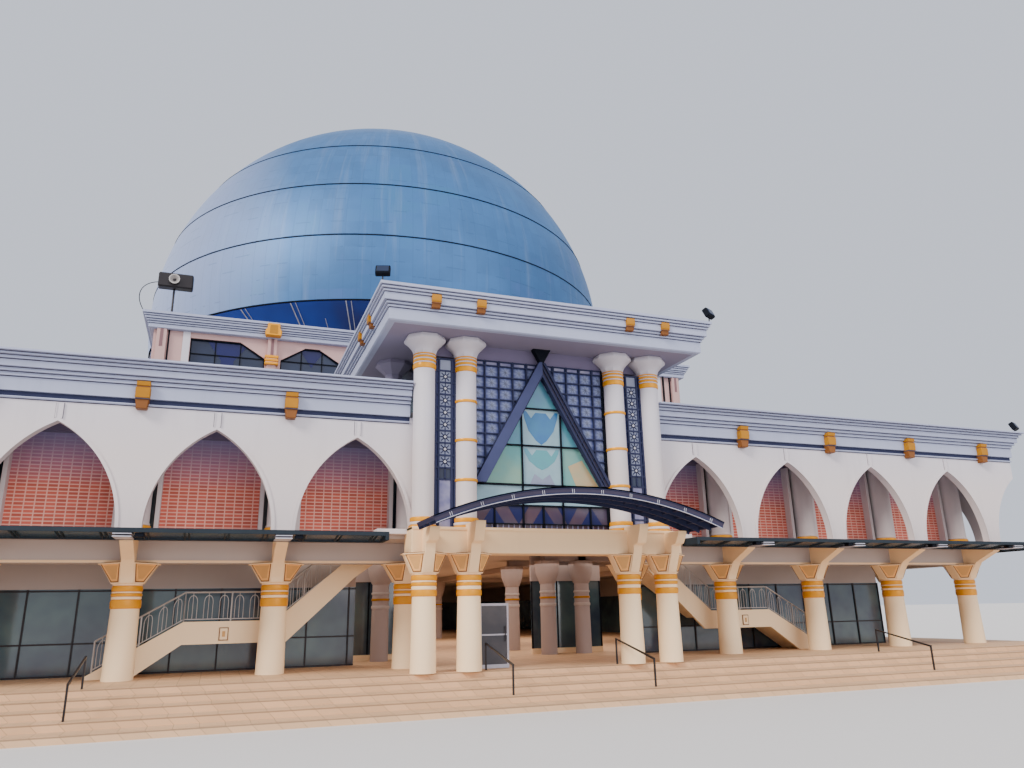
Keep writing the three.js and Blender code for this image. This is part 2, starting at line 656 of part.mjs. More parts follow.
// Entrance screen between the upper columns: glass, a steel A-frame with lattices, and side screens
function buildFacade() {
  const glassY = -31.36;
  const glassHalf = PORTICO_INNER - 0.26;
  const frameBack = glassY - GAP;
  addPiece('facade_glass', 'glass', box(-glassHalf, glassHalf, glassY, glassY + 0.05, ON_BEAM, FACADE_TOP));
  const frameDepth = 0.3;
  const latticeDepth = 0.08;
  const aFrame = upright(polygon([
    [-2.58, 7.1], [-2.2, 7.1], [0, 11.2], [2.2, 7.1], [2.58, 7.1],
    [0.12, 11.76], [0.4, UNDER_CANOPY], [-0.4, UNDER_CANOPY], [-0.12, 11.76],
  ]), frameDepth, frameBack - frameDepth);
  const lattice = upright(polygon([
    [-2.64, 7.1], [-2.42, 7.1], [-0.14, 11.5], [-0.14, FACADE_TOP], [-2.64, FACADE_TOP],
  ]), latticeDepth, frameBack - latticeDepth - JOIN);
  addPiece('facade_frame', 'navy', fuse([aFrame, lattice, mirrored(lattice)]));
  const upperY = FRONT_Y - PORTICO_UPPER_OUT;
  const screenLeft = -PORTICO_OUTER + PORTICO_UPPER_RADIUS;
  const screenRight = -PORTICO_INNER - PORTICO_UPPER_RADIUS;
  addPair('side_screen', 'navy', box(screenLeft, screenRight, upperY - 0.04, upperY + 0.04, ON_BEAM, 11.5));
  const lobbyX = -LOBBY_HALF - 0.01;
  const lobbyBack = -BLOCK_HALF_DEPTH - GAP;
  addPair('lobby_glass', 'glass', box(
    lobbyX - 0.05, lobbyX, FRONT_Y - 1.6, lobbyBack, ON_ROOF, UNDER_CANOPY));
}

// High flat roof over the portico, with a moulded cornice around its recessed deck
function buildCanopyRoof() {
  const lineX = 5.9;
  const lineY = 32.86;
  const back = -BLOCK_HALF_DEPTH - GAP;
  const profile = [
    [0, CANOPY_BASE], [0.24, CANOPY_BASE], [0.26, 12.72], [0.34, 12.8], [0.46, 12.94], [0.46, 13.22],
    [0.54, 13.28], [0.62, 13.4], [0.62, CANOPY_TOP], [0, CANOPY_TOP],
  ];
  const bracket = [[0.2, 12.78], [0.62, 12.98], [0.62, 13.24], [0.2, 13.24]];
  const rearY = [-28.3, -22.5];
  const deck = [box(-lineX + GAP, lineX - GAP, -lineY + GAP, back, CANOPY_BASE, CANOPY_BASE + 0.36)];
  for (const y of rearY) {
    deck.push(upperColumn(-4.95, y, ON_ROOF, 0.34, CANOPY_BASE + JOIN));
    deck.push(upperColumn(4.95, y, ON_ROOF, 0.34, CANOPY_BASE + JOIN));
  }
  addPiece('canopy_deck', 'white', fuse(deck));
  const solids = [mouldedRing(profile, lineX, lineY)];
  for (const x of PORTICO_X) solids.push(sideways(bracket, x, 0.34, lineY));
  const behind = box(-lineX - 1, lineX + 1, back, lineY + 1, CANOPY_BASE - 1, CANOPY_TOP + 1);
  addPiece('canopy_cornice', 'white', fuse(solids, [behind]));
}

// Bowed steel canopy over the entrance, borne by the brackets on the portico beam
function buildBowCanopy() {
  const { radius, angle, centreZ, thick, front, back, facets } = BOW;
  const shape = new THREE.Shape();
  shape.absarc(0, centreZ, radius, Math.PI / 2 + angle, Math.PI / 2 - angle, true);
  shape.absarc(0, centreZ, radius - thick, Math.PI / 2 - angle, Math.PI / 2 + angle, false);
  // The extrusion draws an arc with two facets for each curve segment
  addPiece('bow_canopy', 'navy', upright(shape, back - front, front, facets / 2));
}

// Central block under the dome. Each window is [left end, right end, slopes at the left, at the right].
function windowCut([x0, x1, leftSlope, rightSlope], out) {
  const { sill, head, slopeWide, slopeHigh } = BLOCK_WINDOWS;
  const leftTop = leftSlope ? [[x0, head - slopeHigh], [x0 + slopeWide, head]] : [[x0, head]];
  const rightTop = rightSlope ? [[x1 - slopeWide, head], [x1, head - slopeHigh]] : [[x1, head]];
  const outline = polygon([[x0, sill], ...leftTop, ...rightTop, [x1, sill]]);
  return upright(outline, BLOCK_WALL + 2 * JOIN, -out - JOIN);
}

function blockWall(side, out, end, windows, pilasters) {
  const solids = [box(-end, end, -out, -out + BLOCK_WALL, ON_ROOF, UNDER_EAVES)];
  for (const x of pilasters) {
    solids.push(box(x - 0.22, x + 0.22, -out - 0.2, -out + JOIN, ON_ROOF, UNDER_EAVES));
  }
  return onSide(side, fuse(solids, windows.map((window) => windowCut(window, out))));
}

function buildBlock() {
  const endX = BLOCK_HALF_WIDTH;
  const endY = BLOCK_HALF_DEPTH - BLOCK_WALL - GAP;
  const leftWindows = [[-13, -9.48, false, true], [-8.73, -5.63, true, true]];
  const rightWindows = leftWindows.map(([x0, x1, left, right]) => [-x1, -x0, right, left]);
  const frontWindows = [...leftWindows, ...rightWindows];
  const backWindows = [...frontWindows, [-4.15, -0.55, true, true], [0.55, 4.15, true, true]];
  const pilasterX = [-14.3, -9.17, 9.17, 14.3];
  addPiece('block_wall_front', 'pink', blockWall('front', BLOCK_HALF_DEPTH, endX, frontWindows, pilasterX));
  addPiece('block_wall_back', 'pink', blockWall(
    'back', BLOCK_HALF_DEPTH, endX, backWindows, [...pilasterX, -4.7, 0, 4.7]));
  const sideWindows = [-13.5, -9, -4.5, 0, 4.5, 9, 13.5].map((y) => [y - 1.8, y + 1.8, true, true]);
  const sidePilasters = [-15.75, -6.75, -2.25, 2.25, 6.75, 15.75, -11.25, 11.25];
  addPair('block_wall', 'pink', blockWall('left', BLOCK_HALF_WIDTH, endY, sideWindows, sidePilasters));
  const { sill, head } = BLOCK_WINDOWS;
  const inset = BLOCK_WALL + GAP;
  const glassX = BLOCK_HALF_WIDTH - inset;
  const glassY = BLOCK_HALF_DEPTH - inset;
  const ring = polygon(rectangle(glassX, glassY));
  ring.holes.push(new THREE.Path(points(rectangle(glassX - 0.06, glassY - 0.06))));
  addPiece('block_glass', 'glass', flat(ring, sill - 0.15, head + 0.15));
  const profile = [[0, BLOCK_EAVES], [0.55, BLOCK_EAVES], [0.6, 16.4], [0.72, 16.5], [0.72, 16.72],
    [0.84, 16.78], [0.84, BLOCK_TOP], [0, BLOCK_TOP]];
  const crown = [[0.5, 16.2], [0.86, 16.2], [0.96, 16.86], [0.5, 16.86]];
  const lineX = BLOCK_HALF_WIDTH - BLOCK_WALL;
  const lineY = BLOCK_HALF_DEPTH - BLOCK_WALL;
  const crowns = Object.keys(SIDES).flatMap((side) => {
    const places = ownsCorners(side) ? [-9.17, 9.17] : [-11.25, -2.25, 2.25, 11.25];
    const out = ownsCorners(side) ? lineY : lineX;
    return places.map((x) => onSide(side, sideways(crown, x, 0.5, out)));
  });
  addPiece('block_cornice', 'white', fuse([mouldedRing(profile, lineX, lineY), ...crowns]));
  const plate = polygon(rectangle(lineX - GAP, lineY - GAP));
  plate.holes.push(new THREE.Path().absarc(0, 0, DRUM_FOOT_RADIUS - 0.3, 0, 2 * Math.PI, true));
  addPiece('block_roof', 'white', flat(plate, DRUM_FOOT - 0.3, DRUM_FOOT, DOME_SEGMENTS / 2));
}

// Dome: a glass drum that flares outwards carries the metal shell
function buildDome() {
  const rimRadius = Math.sqrt(DOME_RADIUS ** 2 - (DOME_CENTRE - DOME_RIM) ** 2);
  const glassThick = 0.14;
  const foot = DRUM_FOOT + GAP;
  const headRadius = rimRadius - 0.08;
  addPiece('drum_glass', 'glass', turned([
    [DRUM_FOOT_RADIUS - glassThick, foot], [DRUM_FOOT_RADIUS, foot], [headRadius, DOME_RIM],
    [headRadius - glassThick, DOME_RIM], [DRUM_FOOT_RADIUS - glassThick, foot],
  ], 0, 0, DOME_SEGMENTS));
  const rimAngle = Math.asin((DOME_RIM + GAP - DOME_CENTRE) / DOME_RADIUS);
  const arc = (radius, rings) => Array.from({ length: rings + 1 }, (_, i) => {
    const angle = rimAngle + (Math.PI / 2 - rimAngle) * i / rings;
    const height = i === 0 ? DOME_RIM + GAP : DOME_CENTRE + radius * Math.sin(angle);
    return [i === rings ? 0 : radius * Math.cos(angle), height];
  });
  const profile = [
    ...arc(DOME_RADIUS - DOME_SHELL, DOME_INNER_RINGS).reverse(), ...arc(DOME_RADIUS, DOME_RINGS),
  ];
  addPiece('dome_shell', 'dome', turned(profile, 0, 0, DOME_SEGMENTS));
}

// Pipe handrails across the front steps
function buildHandrails() {
  const top = HALF_DEPTH + PLATFORM_MARGIN - 0.3;
  const foot = top + 3 * STEP_TREAD;
  const fall = 3 * RISER;
  const high = FLOOR + 0.86;
  const bar = 0.05;
  const half = 0.025;
  const solids = (x) => {
    const outline = polygon([
      [top, high], [foot, high - fall], [foot, high - fall - bar], [foot - bar, high - fall - bar],
      [top + bar, high - bar], [top, high - bar],
    ]);
    const rail = new THREE.ExtrudeGeometry(outline, { depth: 2 * half, bevelEnabled: false });
    rail.rotateX(Math.PI / 2).rotateZ(-Math.PI / 2).translate(x + half, 0, 0);
    const topPost = box(x - half, x + half, -top - bar, -top, ON_FLOOR, high - bar / 2);
    const footPost = box(x - half, x + half, -foot, -foot + bar, ON_FLOOR - fall, high - fall - bar / 2);
    return fuse([rail, topPost, footPost]);
  };
  addPair('handrail_inner', 'steel', solids(-2.4));
  addPair('handrail_outer', 'steel', solids(-14.1));
}

buildBase();
buildColonnades();
buildHall();
buildHallFrames();
buildStairs();
buildUpperFloor();
buildAwnings();
buildArcades();
buildGallery();
buildRoof();
buildParapet();
buildPorticoFrame();
buildFacade();
buildCanopyRoof();
buildBowCanopy();
buildBlock();
buildDome();
buildHandrails();

export default building;
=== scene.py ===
"""Mosque building at 1:2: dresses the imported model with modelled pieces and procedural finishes."""

from math import acos, asin, copysign, cos, pi, radians, sin, sqrt

import bmesh
import bpy
from mathutils import Matrix, Vector


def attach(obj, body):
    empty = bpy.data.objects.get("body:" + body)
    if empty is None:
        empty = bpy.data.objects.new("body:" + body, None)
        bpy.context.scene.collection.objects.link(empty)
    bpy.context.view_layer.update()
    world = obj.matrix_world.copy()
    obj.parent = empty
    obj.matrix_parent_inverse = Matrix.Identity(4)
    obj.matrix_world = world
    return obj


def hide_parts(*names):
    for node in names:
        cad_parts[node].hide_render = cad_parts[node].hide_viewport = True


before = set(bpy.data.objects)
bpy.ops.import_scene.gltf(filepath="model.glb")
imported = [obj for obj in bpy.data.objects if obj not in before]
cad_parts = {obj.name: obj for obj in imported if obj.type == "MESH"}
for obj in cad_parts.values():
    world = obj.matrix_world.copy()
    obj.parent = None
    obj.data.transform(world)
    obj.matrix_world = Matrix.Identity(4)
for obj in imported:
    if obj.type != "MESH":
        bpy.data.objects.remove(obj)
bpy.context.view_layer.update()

bl_info = {
    "name": "Mosque building",
    "version": (1, 0, 0),
    "blender": (4, 5, 0),
    "location": "3D View > Sidebar > Mosque",
    "description": "Builds the visible pieces and finishes of a domed mosque building",
    "category": "Object",
}

# Sizes are the real building's, in metres. MODEL turns them into the 1:2 model's.
MODEL = 0.5
SEAT = 0.003
# Sides of a round column
ROUND = 24
# Goes before each finish's name, so that none is mistaken for a slot's material
FINISH = "mosque_"

# Column grid and heights
BAY = 4.5
HALF_WIDTH = 22.5
HALF_DEPTH = 29.25
FRONT_Y = -HALF_DEPTH
OVERHANG = 1.98
RISER = 0.18
FLOOR = 0.9
BEAM_BASE = 4.42
SLAB_BASE = 5.13
UPPER_FLOOR = 5.36
WALL_TOP = 9.35
PARAPET_TOP = 10.53
CANOPY_BASE = 12.24
CANOPY_TOP = 13.47
BLOCK_EAVES = 16.15
BLOCK_TOP = 16.92
ON_FLOOR = FLOOR + SEAT
ON_UPPER_FLOOR = UPPER_FLOOR + SEAT
UNDER_SLAB = SLAB_BASE - SEAT
GALLERY_HEAD = 8.7

# Arcade
ARCADE_THICK = 0.3
ARCH_HALF_SPAN = 1.88
ARCH_APEX = 8.52
ARCH_RISE = ARCH_APEX - UPPER_FLOOR
ARCH_RADIUS = (ARCH_HALF_SPAN**2 + ARCH_RISE**2) / (2 * ARCH_HALF_SPAN)
ARCADE_LINE = OVERHANG - ARCADE_THICK

# Portico
PORTICO_X = (-4.53, -3.0, 3.0, 4.53)
PORTICO_LOWER_Y = FRONT_Y - 2.7
PORTICO_UPPER_Y = FRONT_Y - 2.385
PORTICO_BEAM_BASE = 4.6
PORTICO_BEAM_FRONT = -32.34
PORTICO_FLOOR = 5.45
ON_PORTICO_FLOOR = PORTICO_FLOOR + SEAT
GLASS_Y = -31.36
FACADE_TOP = 11.7
FACADE_HALF = 2.74
LATTICE_WIDE = 0.548
LATTICE_HIGH = 0.43
LATTICE_TOP = 11.5

# Bowed canopy, an arc of its own radius
BOW_HALF_SPAN = 5.6
BOW_TOP = 6.5
BOW_RISE = 1.26
BOW_THICK = 0.24
BOW_FRONT = -35.1
BOW_BACK = -33.0
BOW_RADIUS = (BOW_HALF_SPAN**2 + BOW_RISE**2) / (2 * BOW_RISE)
BOW_SHEET_HALF = 5.06
BOW_ANGLE = asin(BOW_SHEET_HALF / BOW_RADIUS)
BOW_CENTRE = BOW_TOP - BOW_RADIUS

# Stairs
STAIR_FRONT = FRONT_Y + 0.9
STAIR_FOOT_X = -14.35
LANDING_X0 = -11.79
LANDING_X1 = -8.72
LANDING = 2.5
STRINGER = 0.14
STRINGER_LIP = 0.09
# Height of a railing panel's foot rail over the stringer
FOOT_RAIL = 0.08

# Block and dome
BLOCK_HALF_WIDTH = 14.67
BLOCK_HALF_DEPTH = 18.45
BLOCK_SILL = 11.4
BLOCK_HEAD = BLOCK_EAVES - 0.28
DOME_RADIUS = 16.72
DOME_CENTRE = 22.36
DOME_RIM = 19.95
DOME_RIM_RADIUS = sqrt(DOME_RADIUS**2 - (DOME_CENTRE - DOME_RIM) ** 2)
DRUM_FOOT = BLOCK_TOP - 0.02
DRUM_FOOT_RADIUS = 11.3

# The turn of each side from the front, its column line's distance out, half length and bays
SIDES = {
    "front": (0, HALF_DEPTH, HALF_WIDTH, 10),
    "right": (pi / 2, HALF_WIDTH, HALF_DEPTH, 13),
    "back": (pi, HALF_DEPTH, HALF_WIDTH, 10),
    "left": (-pi / 2, HALF_WIDTH, HALF_DEPTH, 13),
}
MIRROR = Matrix.Diagonal((-1, 1, 1, 1))
HERE = (Matrix(),)
BOTH_HALVES = (Matrix(), MIRROR)


def turn(side):
    """The rotation that takes the front's place to that side."""
    return Matrix.Rotation(SIDES[side][0], 4, "Z")


def shift(x=0.0, y=0.0, z=0.0):
    return Matrix.Translation((x, y, z))


def column_places(side):
    """Column positions along one side. The left and right leave the corners to the others."""
    _, _, half, bays = SIDES[side]
    places = [i * BAY - half for i in range(bays + 1)]
    return places if side in ("front", "back") else places[1:-1]


def bay_centres(side):
    """Middles of the bays along one side."""
    _, _, half, bays = SIDES[side]
    return [(i + 0.5) * BAY - half for i in range(bays)]


def wing_places():
    """Column positions of the front's left wing, up to the portico."""
    return [x for x in column_places("front") if x < -BAY + 1]


# Shapes, each a small bmesh in real metres


def box_shape(x0, x1, y0, y1, z0, z1):
    shape = bmesh.new()
    middle = shift((x0 + x1) / 2, (y0 + y1) / 2, (z0 + z1) / 2)
    size = Matrix.Diagonal((x1 - x0, y1 - y0, z1 - z0, 1))
    bmesh.ops.create_cube(shape, size=1, matrix=middle @ size)
    return shape


def prism_shape(outline, y0, y1):
    """An outline of (x, z) points, thick from y0 to y1."""
    shape = bmesh.new()
    face = shape.faces.new([shape.verts.new((x, y0, z)) for x, z in outline])
    pulled = bmesh.ops.extrude_face_region(shape, geom=[face])["geom"]
    far = [item for item in pulled if isinstance(item, bmesh.types.BMVert)]
    bmesh.ops.translate(shape, vec=(0, y1 - y0, 0), verts=far)
    bmesh.ops.recalc_face_normals(shape, faces=shape.faces)
    return shape


def side_shape(outline, x0, x1):
    """An outline of (outward, z) points that faces the front, wide from x0 to x1."""
    shape = prism_shape(outline, -x1, -x0)
    bmesh.ops.rotate(shape, cent=(0, 0, 0), matrix=Matrix.Rotation(-pi / 2, 3, "Z"), verts=shape.verts)
    return shape


def rectangle(a, b, z0, z1):
    """Outline of an upright rectangle from a to b."""
    return [(a, z0), (b, z0), (b, z1), (a, z1)]


def both_sides(right):
    """The right side of an outline, from its foot up, followed by its mirror image."""
    return [*right, *[(-x, z) for x, z in reversed(right)]]


def turned_shape(profile, sides=ROUND):
    """A solid or ring turned about Z from (radius, z) points."""
    shape = bmesh.new()
    verts = [shape.verts.new((radius, 0, z)) for radius, z in profile]
    edges = [shape.edges.new(pair) for pair in zip(verts, verts[1:])]
    bmesh.ops.rotate(shape, cent=(0, 0, 0), matrix=Matrix.Rotation(pi / sides, 3, "Z"), verts=verts)
    bmesh.ops.spin(
        shape, geom=verts + edges, axis=(0, 0, 1), cent=(0, 0, 0), angle=2 * pi, steps=sides, use_merge=True
    )
    bmesh.ops.remove_doubles(shape, verts=shape.verts, dist=1e-4)
    bmesh.ops.recalc_face_normals(shape, faces=shape.faces)
    return shape


def turned_ring(outline, sides):
    """A ring turned about Z from a closed (radius, z) outline."""
    return turned_shape([*outline, outline[0]], sides)


def band_shape(z0, z1, radius, sides=ROUND):
    """A band around a column, with chamfered edges."""
    edge = 0.02
    inner = radius - edge
    profile = [(0, z0), (inner, z0), (radius, z0 + edge), (radius, z1 - edge), (inner, z1), (0, z1)]
    return turned_shape(profile, sides)


def round_band(z0, z1, radius, proud, sides=ROUND):
    """A half-round band around a column."""
    steps = 5
    middle, half = (z0 + z1) / 2, (z1 - z0) / 2
    profile = [(0, z0), (radius, z0)]
    for i in range(1, steps):
        angle = pi * i / steps
        profile.append((radius + proud * sqrt(sin(angle)), middle - half * cos(angle)))
    return turned_shape([*profile, (radius, z1), (0, z1)], sides)


def ring_shape(profile, half_x, half_y):
    """A moulded ring around a rectangle, mitred at its corners. Its profile is (outward, z)."""
    core = 1.0
    shape = turned_ring([((core + outward) * sqrt(2), z) for outward, z in profile], 4)
    for vert in shape.verts:
        vert.co.x += copysign(half_x - core, vert.co.x)
        vert.co.y += copysign(half_y - core, vert.co.y)
    return shape


def split_at(shape, point, normal, clear=False):
    """Cuts a shape along a plane, and clears what lies beyond it on request."""
    everything = [*shape.verts, *shape.edges, *shape.faces]
    bmesh.ops.bisect_plane(shape, geom=everything, plane_co=point, plane_no=normal, clear_outer=clear)


def closed(shape):
    """Closes the open edges of a cut and turns the faces outwards."""
    bmesh.ops.holes_fill(shape, edges=[edge for edge in shape.edges if edge.is_boundary])
    bmesh.ops.recalc_face_normals(shape, faces=shape.faces)
    return shape


def cut_away(shape, y):
    """Removes what lies behind a plane across Y and closes the cut."""
    split_at(shape, (0, y, 0), (0, 1, 0), clear=True)
    return closed(shape)


def opened(shape, gap_half):
    """The ring with its front cut away between x = -gap_half and gap_half."""
    for x in (-gap_half, gap_half):
        split_at(shape, (x, 0, 0), (1, 0, 0))
    cut = []
    for face in shape.faces:
        middle = face.calc_center_median()
        if abs(middle.x) < gap_half and middle.y < 0:
            cut.append(face)
    bmesh.ops.delete(shape, geom=cut, context="FACES")
    return closed(shape)


def bevelled(shape, width, segments=1):
    bmesh.ops.bevel(
        shape,
        geom=shape.edges[:],
        offset=width,
        offset_type="OFFSET",
        affect="EDGES",
        segments=segments,
        profile=0.5,
        material=-1,
    )
    return shape


def rod_shape(start, end, radius, sides=8):
    """A round bar between two points."""
    start, end = Vector(start), Vector(end)
    along = end - start
    aim = along.to_track_quat("Z", "Y").to_matrix().to_4x4()
    shape = bmesh.new()
    bmesh.ops.create_cone(
        shape,
        cap_ends=True,
        segments=sides,
        radius1=radius,
        radius2=radius,
        depth=along.length,
        matrix=Matrix.Translation((start + end) / 2) @ aim,
    )
    return shape


def arch_curve(offset=0.0):
    """(x, z) points of the pointed arch from its left foot over the apex to its right foot."""
    steps = 18
    centre = ARCH_RADIUS - ARCH_HALF_SPAN
    radius = ARCH_RADIUS + offset
    top = acos(centre / radius)
    left = [(centre - radius * cos(top * i / steps), radius * sin(top * i / steps)) for i in range(steps + 1)]
    left[-1] = (0.0, left[-1][1])
    return left + [(-x, z) for x, z in reversed(left[:-1])]


class Workpiece:
    """Solids that make one piece, each face with its finish."""

    def __init__(self, *finishes):
        self.mesh = bmesh.new()
        self.finishes = list(finishes)

    def number(self, finish):
        """The finish's place among the piece's finishes, where it is entered if it is new."""
        if finish not in self.finishes:
            self.finishes.append(finish)
        return self.finishes.index(finish)

    def add(self, shape, finish, places=HERE):
        """Adds a shape in one finish at each place."""
        index = self.number(finish)
        for face in shape.faces:
            face.material_index = index
        self.stamp(shape, places)

    def repeat(self, other, places=HERE):
        """Adds another piece's solids at each place and takes over its finishes."""
        numbers = [self.number(finish) for finish in other.finishes]
        for face in other.mesh.faces:
            face.material_index = numbers[face.material_index]
        self.stamp(other.mesh, places)

    def stamp(self, shape, places):
        """Adds a shape that already has this piece's finishes at each place, and frees it."""
        for place in places:
            loose = bpy.data.meshes.new("loose")
            shape.to_mesh(loose)
            loose.transform(place)
            if place.determinant() < 0:
                loose.flip_normals()
            self.mesh.from_mesh(loose)
            bpy.data.meshes.remove(loose)
        shape.free()

    def finish(self, name, slot, *replaces, smooth=35):
        """Makes the piece's object, at model size, and joins it to the frame."""
        bmesh.ops.scale(self.mesh, vec=(MODEL, MODEL, MODEL), verts=self.mesh.verts)
        mesh = bpy.data.meshes.new(name)
        self.mesh.to_mesh(mesh)
        self.mesh.free()
        for finish in self.finishes:
            mesh.materials.append(bpy.data.materials[FINISH + finish])
        mesh.shade_smooth()
        mesh.set_sharp_from_angle(angle=radians(smooth))
        piece = placed(name, mesh)
        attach(piece, "root")
        if replaces:
            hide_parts(*replaces)


# Finishes


class Nodes:
    """A material's nodes, wired by short calls."""

    def __init__(self, name):
        self.material = bpy.data.materials.new(FINISH + name)
        self.material.use_nodes = True
        self.tree = self.material.node_tree
        self.shader = self.tree.nodes["Principled BSDF"]
        self.place = self.tree.nodes.new("ShaderNodeTexCoord").outputs["Object"]

    def new(self, kind, inputs=None, **settings):
        node = self.tree.nodes.new("ShaderNode" + kind)
        for key, value in settings.items():
            setattr(node, key, value)
        for key, value in (inputs or {}).items():
            if isinstance(value, bpy.types.NodeSocket):
                self.tree.links.new(value, node.inputs[key])
            else:
                node.inputs[key].default_value = value
        return node

    def colour(self, source):
        self.tree.links.new(source, self.shader.inputs["Base Color"])

    def math(self, operation, *values):
        inputs = {index: value for index, value in enumerate(values)}
        return self.new("Math", inputs, operation=operation).outputs[0]

    def times(self, first, second):
        return self.math("MULTIPLY", first, second)

    def over(self, first, second):
        return self.math("DIVIDE", first, second)

    def plus(self, first, second):
        return self.math("ADD", first, second)

    def less(self, first, second):
        return self.math("SUBTRACT", first, second)

    def limited(self, value, low, high):
        """The value's way from low to high, held between 0 and 1."""
        inputs = {"Value": value, "From Min": low, "From Max": high}
        return self.new("MapRange", inputs, clamp=True).outputs[0]

    def noise(self, scale, detail=4.0, roughness=0.55, vector=None):
        inputs = {"Vector": vector or self.place, "Scale": scale, "Detail": detail, "Roughness": roughness}
        return self.new("TexNoise", inputs).outputs["Fac"]

    def stretched(self, x, y, z):
        """Object coordinates with each axis scaled."""
        return self.new("Mapping", {"Vector": self.place, "Scale": (x, y, z)}).outputs[0]

    def plane(self, across, upward):
        """A vector from two values."""
        return self.new("CombineXYZ", {"X": across, "Y": upward}).outputs[0]

    def axes(self):
        split = self.new("SeparateXYZ", {0: self.place})
        return split.outputs[0], split.outputs[1], split.outputs[2]

    def upright(self):
        """1 on vertical faces and 0 on level ones."""
        normal = self.new("NewGeometry").outputs["Normal"]
        level = self.new("SeparateXYZ", {0: normal}).outputs[2]
        return self.math("LESS_THAN", self.math("ABSOLUTE", level), 0.5)

    def ramp(self, fac, *stops):
        """A colour ramp from (position, colour) stops."""
        node = self.new("ValToRGB", {"Fac": fac})
        band = node.color_ramp
        while len(band.elements) < len(stops):
            band.elements.new(0.5)
        for element, (position, colour) in zip(band.elements, stops):
            element.position = position
            element.color = (*colour[:3], 1)
        return node.outputs["Color"]

    def mask(self, fac, low, high):
        """Black up to low and white from high."""
        return self.ramp(fac, (low, (0, 0, 0)), (high, (1, 1, 1)))

    def mix(self, fac, first, second):
        node = self.new("Mix", data_type="RGBA")
        for socket, value in zip((node.inputs[0], node.inputs[6], node.inputs[7]), (fac, first, second)):
            if isinstance(value, bpy.types.NodeSocket):
                self.tree.links.new(value, socket)
            elif socket.type == "RGBA":
                socket.default_value = (*value[:3], 1)
            else:
                socket.default_value = value
        return node.outputs[2]

    def bump(self, height, strength, distance):
        node = self.new("Bump", {"Height": height, "Strength": strength, "Distance": distance})
        self.tree.links.new(node.outputs["Normal"], self.shader.inputs["Normal"])

    def surface(self, roughness, metallic=0.0, coat=0.0, specular=0.22):
        self.shader.inputs["Roughness"].default_value = roughness
        self.shader.inputs["Metallic"].default_value = metallic
        self.shader.inputs["Coat Weight"].default_value = coat
        self.shader.inputs["Specular IOR Level"].default_value = specular


def shade(colour, factor):
    return tuple(channel * factor for channel in colour[:3])


def painted_render(name, colour, roughness=0.62, streaks=0.1, low_colour=None, low=0.0, high=1.0):
    """Painted plaster: soft patches, rain streaks and a fine trowelled grain. Its tone may drift
    from low_colour at one height to colour at another."""
    nodes = Nodes(name)
    patches = nodes.noise(0.55, 5)
    runs = nodes.noise(1.0, 6, 0.65, nodes.stretched(2.6, 2.6, 0.22))
    base = nodes.ramp(patches, (0.3, shade(colour, 0.93)), (0.7, colour))
    if low_colour:
        _, _, z = nodes.axes()
        base = nodes.mix(nodes.limited(z, low * MODEL, high * MODEL), low_colour, base)
    stain = nodes.times(nodes.mask(runs, 0.52, 0.8), streaks)
    nodes.colour(nodes.mix(stain, base, shade(colour, 0.5)))
    nodes.bump(nodes.noise(38, 5), 0.12, 0.006)
    nodes.surface(roughness)


def gloss_paint(name, colour, roughness=0.35, metallic=0.0, specular=0.3):
    """Brushed-on gloss paint with faint unevenness."""
    nodes = Nodes(name)
    nodes.colour(nodes.ramp(nodes.noise(2.2, 5), (0.3, shade(colour, 0.82)), (0.7, colour)))
    nodes.bump(nodes.noise(24, 3), 0.08, 0.004)
    nodes.surface(roughness, metallic, 0.0, specular)


def brick_infill(name, sizes, along):
    """Stack-bonded brick with pale joints, and painted shade that darkens it to mauve under the roof. along
    is the wall's axis.
    """
    nodes = Nodes(name)
    x, y, z = nodes.axes()
    inputs = {
        "Vector": nodes.plane(x if along == "x" else y, z),
        "Color1": (*sizes.brick_colour, 1),
        "Color2": (*shade(sizes.brick_colour, 0.72), 1),
        "Mortar": (*sizes.joint_colour, 1),
        "Scale": 1.0,
        "Mortar Size": sizes.brick_joint * MODEL,
        "Mortar Smooth": 0.25,
        "Bias": -0.1,
        "Brick Width": sizes.brick_width * MODEL,
        "Row Height": sizes.brick_height * MODEL,
    }
    brick = nodes.new("TexBrick", inputs, offset=0.0, squash=1.0)
    wear = nodes.times(nodes.noise(9, 4), 0.25)
    worn = nodes.mix(wear, brick.outputs["Color"], (0.25, 0.06, 0.04))
    # Painted shade: the brick turns mauve from 6.9 m up to the gallery head, as the shade under the roof.
    painted_roof_shade = nodes.times(nodes.limited(z, 6.9 * MODEL, GALLERY_HEAD * MODEL), 0.9)
    nodes.colour(nodes.mix(painted_roof_shade, worn, (0.26, 0.3, 0.56)))
    nodes.bump(nodes.less(1.0, brick.outputs["Fac"]), 0.5, 0.01)
    nodes.surface(0.85)


def stone_slabs(name, sizes):
    """Honed slabs of the platform and steps, with joints, clouding and a painted shadow line under each
    tread.
    """
    nodes = Nodes(name)
    x, y, z = nodes.axes()
    inputs = {
        "Vector": nodes.plane(nodes.plus(x, z), y),
        "Color1": (*sizes.stone_colour, 1),
        "Color2": (*shade(sizes.stone_colour, 0.86), 1),
        "Mortar": (*shade(sizes.stone_colour, 0.5), 1),
        "Scale": 1.0,
        "Mortar Size": 0.004,
        "Brick Width": sizes.slab_size * MODEL,
        "Row Height": sizes.slab_size * MODEL,
    }
    tile = nodes.new("TexBrick", inputs, offset=0.0)
    clouds = nodes.times(nodes.noise(3.5, 7), 0.45)
    clouded = nodes.mix(clouds, tile.outputs["Color"], shade(sizes.stone_colour, 0.66))
    # Painted shadow: a dark band at the top of each riser, on upright faces, under the tread's edge.
    course = nodes.math("FRACT", nodes.over(z, RISER * MODEL))
    line = nodes.math("GREATER_THAN", course, 0.8)
    edge = nodes.times(nodes.times(line, nodes.upright()), 0.75)
    nodes.colour(nodes.mix(edge, clouded, shade(sizes.stone_colour, 0.32)))
    nodes.bump(nodes.less(1.0, tile.outputs["Fac"]), 0.4, 0.006)
    nodes.surface(0.6)


